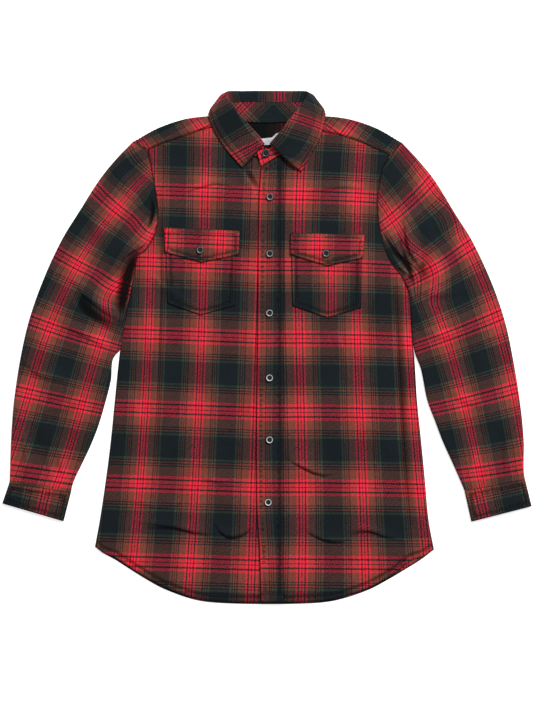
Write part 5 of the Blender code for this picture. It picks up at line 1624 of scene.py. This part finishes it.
def button_mesh(name, centre, slope, turn, grey):
    """A turned button with a dished middle, four holes and a painted highlight on its ring."""
    sides = bpy.context.scene.shirt_sizes.button_sides
    points, faces, highlight_values = [], [], []

    def add_ring(radius, height, value=0.0, middle=(0.0, 0.0), count=sides):
        """Add a ring of points, and give their numbers."""
        start = len(points)
        for index in range(count):
            angle = math.tau * index / count + turn
            points.append((middle[0] + radius * math.cos(angle),
                           middle[1] + radius * math.sin(angle), height))
            highlight_values.append(value)
        return list(range(start, start + count))

    def join(lower, upper):
        """Add the faces between two rings."""
        for index in range(len(lower)):
            following = (index + 1) % len(lower)
            faces.append((lower[index], lower[following], upper[following], upper[index]))

    rings = [add_ring(face.radius, face.height) for face in BUTTON_BACK_FACE]
    for face in BUTTON_FRONT_FACE:
        # points between those radii carry the button's painted highlight
        highlighted = HIGHLIGHT_FROM < face.radius < HIGHLIGHT_TO
        rings.append(add_ring(face.radius, face.height, grey if highlighted else 0.0))
    for lower, upper in zip(rings, rings[1:]):
        join(lower, upper)
    faces.append(tuple(rings[0][::-1]))
    places = [(sx * HOLE_OFFSET, sy * HOLE_OFFSET) for sx in (-1, 1) for sy in (-1, 1)]
    dish = BUTTON_FRONT_FACE[-1].height
    holes = [add_ring(HOLE_RADIUS, dish, middle=place, count=HOLE_SIDES) for place in places]
    source = rings[-1] + [index for hole in holes for index in hole]
    starts = [sides + number * HOLE_SIDES for number in range(len(holes))]
    loops = [list(range(sides))] + [list(range(start, start + HOLE_SIDES)) for start in starts]
    result = delaunay_2d_cdt([Vector(points[index][:2]) for index in source], [], loops, 1, 1e-4)
    for face, own in zip(result[2], result[5]):
        if list(own) == [0]:
            faces.append(tuple(source[result[3][index][0]] for index in face))
    for place, hole in zip(places, holes):
        floor = add_ring(HOLE_RADIUS, HOLE_FLOOR, middle=place, count=HOLE_SIDES)
        join(hole, floor)
        faces.append(tuple(floor))
    world = [(centre[0] + x, centre[1] + y, centre[2] + z + x * slope[0] + y * slope[1])
             for x, y, z in points]
    piece = make_object(name, world, faces, "button")
    layer = piece.data.attributes.new("ring", "FLOAT", "POINT")
    layer.data.foreach_set("value", highlight_values)
    return piece


def button_thread(name, centre, slope):
    """Thread that crosses from hole to hole in the dish of a button."""
    bars = []
    dish = BUTTON_FRONT_FACE[-1].height + TIE_HEIGHT
    reach = HOLE_OFFSET * TIE_REACH
    for way, height in ((1, dish + TIE_CROSSING), (-1, dish)):
        for shift in (-TIE_APART, TIE_APART):
            start = np.array((-reach + shift, -reach * way, height))
            stop = np.array((reach + shift, reach * way, height))
            ends = [centre + point + np.array((0, 0, point[0] * slope[0] + point[1] * slope[1]))
                    for point in (start, stop)]
            bars.append(tuple(ends))
    thread_object(name, bars, BUTTON_THREAD)


def build_buttons():
    """The turned buttons, each seated on its cloth and tied on."""
    low, high = np.array(STAND_TAB_LEFT[:3]), np.array(STAND_TAB_LEFT[3:])
    tab_slope = (0.04, (high[2] - low[2]) / (high[1] - low[1]))
    level = (0.0, 0.0)
    spots = [("button_front_%d" % number, spot, level, "placket_cloth")
             for number, spot in enumerate(BUTTONS_FRONT, 1)]
    spots.append(("button_flap_right", BUTTON_FLAP_RIGHT, level, "flap_right_cloth"))
    spots.append(("button_flap_left", BUTTON_FLAP_LEFT, level, "flap_left_cloth"))
    spots.append(("button_stand", BUTTON_STAND, tab_slope, "collar_stand_cloth"))
    draw = np.random.default_rng(21)
    for name, spot, slope, carrier in spots:
        centre = np.array((spot.x, spot.y, cloth_top(carrier, spot.x, spot.y) + BUTTON_AIR))
        piece = button_mesh(name + "_turned", centre, slope, draw.uniform(0, 1), spot.grey)
        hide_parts(name)
        button_thread(name + "_thread", centre, slope)


# ------ thread

TREES = {}


def cloth_top(name, x, y):
    """The height of the top of a piece of cloth at a place, or None beside it."""
    if name not in TREES:
        mesh = bpy.data.objects[name].data
        corners = [vertex.co / MM for vertex in mesh.vertices]
        TREES[name] = BVHTree.FromPolygons(corners, [tuple(face.vertices) for face in mesh.polygons])
    hit = TREES[name].ray_cast(Vector((x, y, ABOVE_ALL)), Vector((0, 0, -1)))[0]
    return None if hit is None else hit.z


def thread_object(name, bars, thickness):
    """Short bars of thread, each from a start to an end, as one mesh."""
    points, faces = [], []
    for start, stop in bars:
        start, stop = np.asarray(start, float), np.asarray(stop, float)
        along = unit(stop - start)
        side = unit(np.cross(along, (0.0, 0.0, 1.0)))
        up = np.cross(side, along)
        first = len(points)
        for place, radius in THREAD_PROFILE:
            middle = start + (stop - start) * place
            for index in range(THREAD_SIDES):
                angle = math.tau * index / THREAD_SIDES
                points.append(middle + (side * math.cos(angle) + up * math.sin(angle))
                              * radius * thickness / 2)
        for ring in range(len(THREAD_PROFILE) - 1):
            for index in range(THREAD_SIDES):
                a = first + ring * THREAD_SIDES + index
                b = first + ring * THREAD_SIDES + (index + 1) % THREAD_SIDES
                faces.append((a, b, b + THREAD_SIDES, a + THREAD_SIDES))
        last = first + (len(THREAD_PROFILE) - 1) * THREAD_SIDES
        faces.append(tuple(range(first + THREAD_SIDES - 1, first - 1, -1)))
        faces.append(tuple(range(last, last + THREAD_SIDES)))
    make_object(name, np.array(points), faces, "thread")


def sew(line, carrier):
    """Stitches along a line, laid on the cloth that carries them."""
    line = np.asarray(line, float)
    pitch = size("stitch_pitch")
    run = run_along(line)
    bars = []
    for index in range(max(1, int(run[-1] / pitch))):
        ends = []
        for place in ((index + STITCH_FROM) * pitch, (index + STITCH_TO) * pitch):
            x, y = np.interp(place, run, line[:, 0]), np.interp(place, run, line[:, 1])
            height = cloth_top(carrier, x, y)
            if height is not None:
                ends.append((x, y, height + THREAD_AIR))
        if len(ends) == 2:
            bars.append(tuple(ends))
    return bars


def build_seams():
    """The topstitching, a mesh for each seam."""
    step, stitch = size("panel_step"), size("stitch_in")
    hem_line = offset(front_hem(step), size("hem_depth"))
    split = hem_line[:, 0] < PLACKET_EDGE[-1][0] - 1
    beyond = hem_line[:, 0] > PLACKET_STITCH_X + 1
    seam_x = PLACKET_STITCH_X - stitch
    groups = {
        "hem": sew(hem_line[split], "front_right_cloth")
        + sew(hem_line[~split & ~beyond], "placket_cloth")
        + sew(hem_line[beyond], "front_left_cloth"),
        "placket": sew(offset(smooth(PLACKET_EDGE, step), stitch), "placket_cloth")
        + sew(straight((seam_x, 308.0), (seam_x, -418.0), step), "placket_cloth"),
    }
    for side, (flap, pocket) in POCKETS.items():
        below = inset(pocket_corners(flap, pocket), stitch)
        line = np.vstack([straight(a, b, step) for a, b in zip(below, below[1:])])
        groups["flap_" + side] = sew(polygon(inset(flap, stitch), step), "flap_%s_cloth" % side)
        groups["pocket_" + side] = sew(line, "pocket_%s_cloth" % side)
    for sleeve in SLEEVES:
        cuff = "cuff_" + sleeve.side
        groups[cuff] = sew(polygon(inset(sleeve.cuff, stitch), step), cuff + "_cloth")
    for side, way, seam in (("right", -1, YOKE_SEAM_RIGHT), ("left", 1, YOKE_SEAM_LEFT)):
        groups["yoke_" + side] = sew(offset(smooth(seam, step), way * YOKE_STITCH), "yoke_cloth")
    groups["stand"] = sew(smooth(STAND_STITCH, step), "collar_stand_cloth")
    for name, bars in groups.items():
        thread_object(name + "_stitches", bars, size("thread"))


# ------ stage

def build_stage():
    """The light table, one soft lamp, an even white surround and the overhead camera."""
    scene = bpy.context.scene
    corners = [(-1, -1), (1, -1), (1, 1), (-1, 1)]
    mesh = bpy.data.meshes.new("light_table")
    mesh.from_pydata([(x * FLOOR_HALF, y * FLOOR_HALF, 0) for x, y in corners], [], [(0, 1, 2, 3)])
    mesh.materials.append(material("floor"))
    floor = bpy.data.objects.new("light_table", mesh)
    floor.location.z = FLOOR_LEVEL
    bpy.context.collection.objects.link(floor)
    centre = Vector((VIEW_X * MM, VIEW_Y * MM, 0.0))
    lamp = bpy.data.lights.new("key_softbox", "AREA")
    lamp.shape = "DISK"
    lamp.size = LAMP_SIZE
    lamp.energy = LAMP_POWER
    holder = bpy.data.objects.new("key_softbox", lamp)
    holder.location = LAMP_PLACE
    holder.rotation_euler = (centre - Vector(LAMP_PLACE)).to_track_quat("-Z", "Y").to_euler()
    bpy.context.collection.objects.link(holder)
    world = bpy.data.worlds.new("studio")
    world.use_nodes = True
    set_inputs(world.node_tree, world.node_tree.nodes["Background"],
               {"Color": linear("#FFFFFF"), "Strength": WORLD_STRENGTH})
    scene.world = world
    scene.view_settings.view_transform = "Standard"
    camera = bpy.data.cameras.new("overhead")
    camera.sensor_fit = "VERTICAL"
    camera.sensor_height = SENSOR
    camera.lens = SENSOR * VIEW_HEIGHT / VIEW_LENGTH
    holder = bpy.data.objects.new("overhead", camera)
    holder.location = (VIEW_X * MM, VIEW_Y * MM, (VIEW_HEIGHT + CLOTH_LEVEL) * MM)
    bpy.context.collection.objects.link(holder)
    scene.camera = holder


# ------ operators and panel

class Undoable:
    """What lets a user undo a step."""

    bl_options = {"REGISTER", "UNDO"}


class SHIRT_OT_back(Undoable, bpy.types.Operator):
    """Lay the back panel"""

    bl_idname = "shirt.back"
    bl_label = "Back"

    def execute(self, context):
        build_back()
        return {"FINISHED"}


class SHIRT_OT_yoke(Undoable, bpy.types.Operator):
    """Fold the yoke over the shoulders"""

    bl_idname = "shirt.yoke"
    bl_label = "Yoke"

    def execute(self, context):
        build_yoke()
        return {"FINISHED"}


class SHIRT_OT_linings(Undoable, bpy.types.Operator):
    """Lay the inner yoke and its label"""

    bl_idname = "shirt.linings"
    bl_label = "Inner yoke and label"

    def execute(self, context):
        build_linings()
        return {"FINISHED"}


class SHIRT_OT_fronts(Undoable, bpy.types.Operator):
    """Lay the fronts, placket, pockets and flaps"""

    bl_idname = "shirt.fronts"
    bl_label = "Fronts"

    def execute(self, context):
        build_fronts()
        return {"FINISHED"}


class SHIRT_OT_sleeves(Undoable, bpy.types.Operator):
    """Lay the sleeves and cuffs"""

    bl_idname = "shirt.sleeves"
    bl_label = "Sleeves"

    def execute(self, context):
        build_sleeves()
        return {"FINISHED"}


class SHIRT_OT_collar(Undoable, bpy.types.Operator):
    """Form the collar fall and stand"""

    bl_idname = "shirt.collar"
    bl_label = "Collar"

    def execute(self, context):
        build_collar()
        build_stand()
        return {"FINISHED"}


class SHIRT_OT_buttons(Undoable, bpy.types.Operator):
    """Turn the buttons and tie them on"""

    bl_idname = "shirt.buttons"
    bl_label = "Buttons"

    def execute(self, context):
        build_buttons()
        return {"FINISHED"}


class SHIRT_OT_seams(Undoable, bpy.types.Operator):
    """Sew the topstitching"""

    bl_idname = "shirt.seams"
    bl_label = "Stitching"

    def execute(self, context):
        build_seams()
        return {"FINISHED"}


class SHIRT_OT_stage(Undoable, bpy.types.Operator):
    """Set the floor, light and camera"""

    bl_idname = "shirt.stage"
    bl_label = "Stage"

    def execute(self, context):
        build_stage()
        return {"FINISHED"}


OPERATORS = (SHIRT_OT_back, SHIRT_OT_yoke, SHIRT_OT_linings, SHIRT_OT_fronts, SHIRT_OT_sleeves,
             SHIRT_OT_collar, SHIRT_OT_buttons, SHIRT_OT_seams, SHIRT_OT_stage)


class SHIRT_PT_panel(bpy.types.Panel):
    """Sizes, colours and steps of the shirt."""

    bl_label = "Flannel shirt"
    bl_idname = "SHIRT_PT_panel"
    bl_space_type = "VIEW_3D"
    bl_region_type = "UI"
    bl_category = "Shirt"

    def draw(self, context):
        for group in (context.scene.shirt_sizes, context.scene.shirt_colours):
            box = self.layout.box()
            for name in group.bl_rna.properties.keys():
                if name not in ("rna_type", "name"):
                    box.prop(group, name)
        for operator in OPERATORS:
            self.layout.operator(operator.bl_idname)


CLASSES = (ShirtSizes, ShirtColours) + OPERATORS + (SHIRT_PT_panel,)


def register():
    """Add the settings, operators and panel."""
    for item in CLASSES:
        bpy.utils.register_class(item)
    bpy.types.Scene.shirt_sizes = PointerProperty(type=ShirtSizes)
    bpy.types.Scene.shirt_colours = PointerProperty(type=ShirtColours)


def unregister():
    """Take them out again."""
    del bpy.types.Scene.shirt_colours
    del bpy.types.Scene.shirt_sizes
    for item in reversed(CLASSES):
        bpy.utils.unregister_class(item)


def main():
    """Build the shirt and the stage."""
    register()
    for operator in OPERATORS:
        getattr(bpy.ops.shirt, operator.bl_idname.split(".")[1])()


if __name__ == "__main__":
    main()
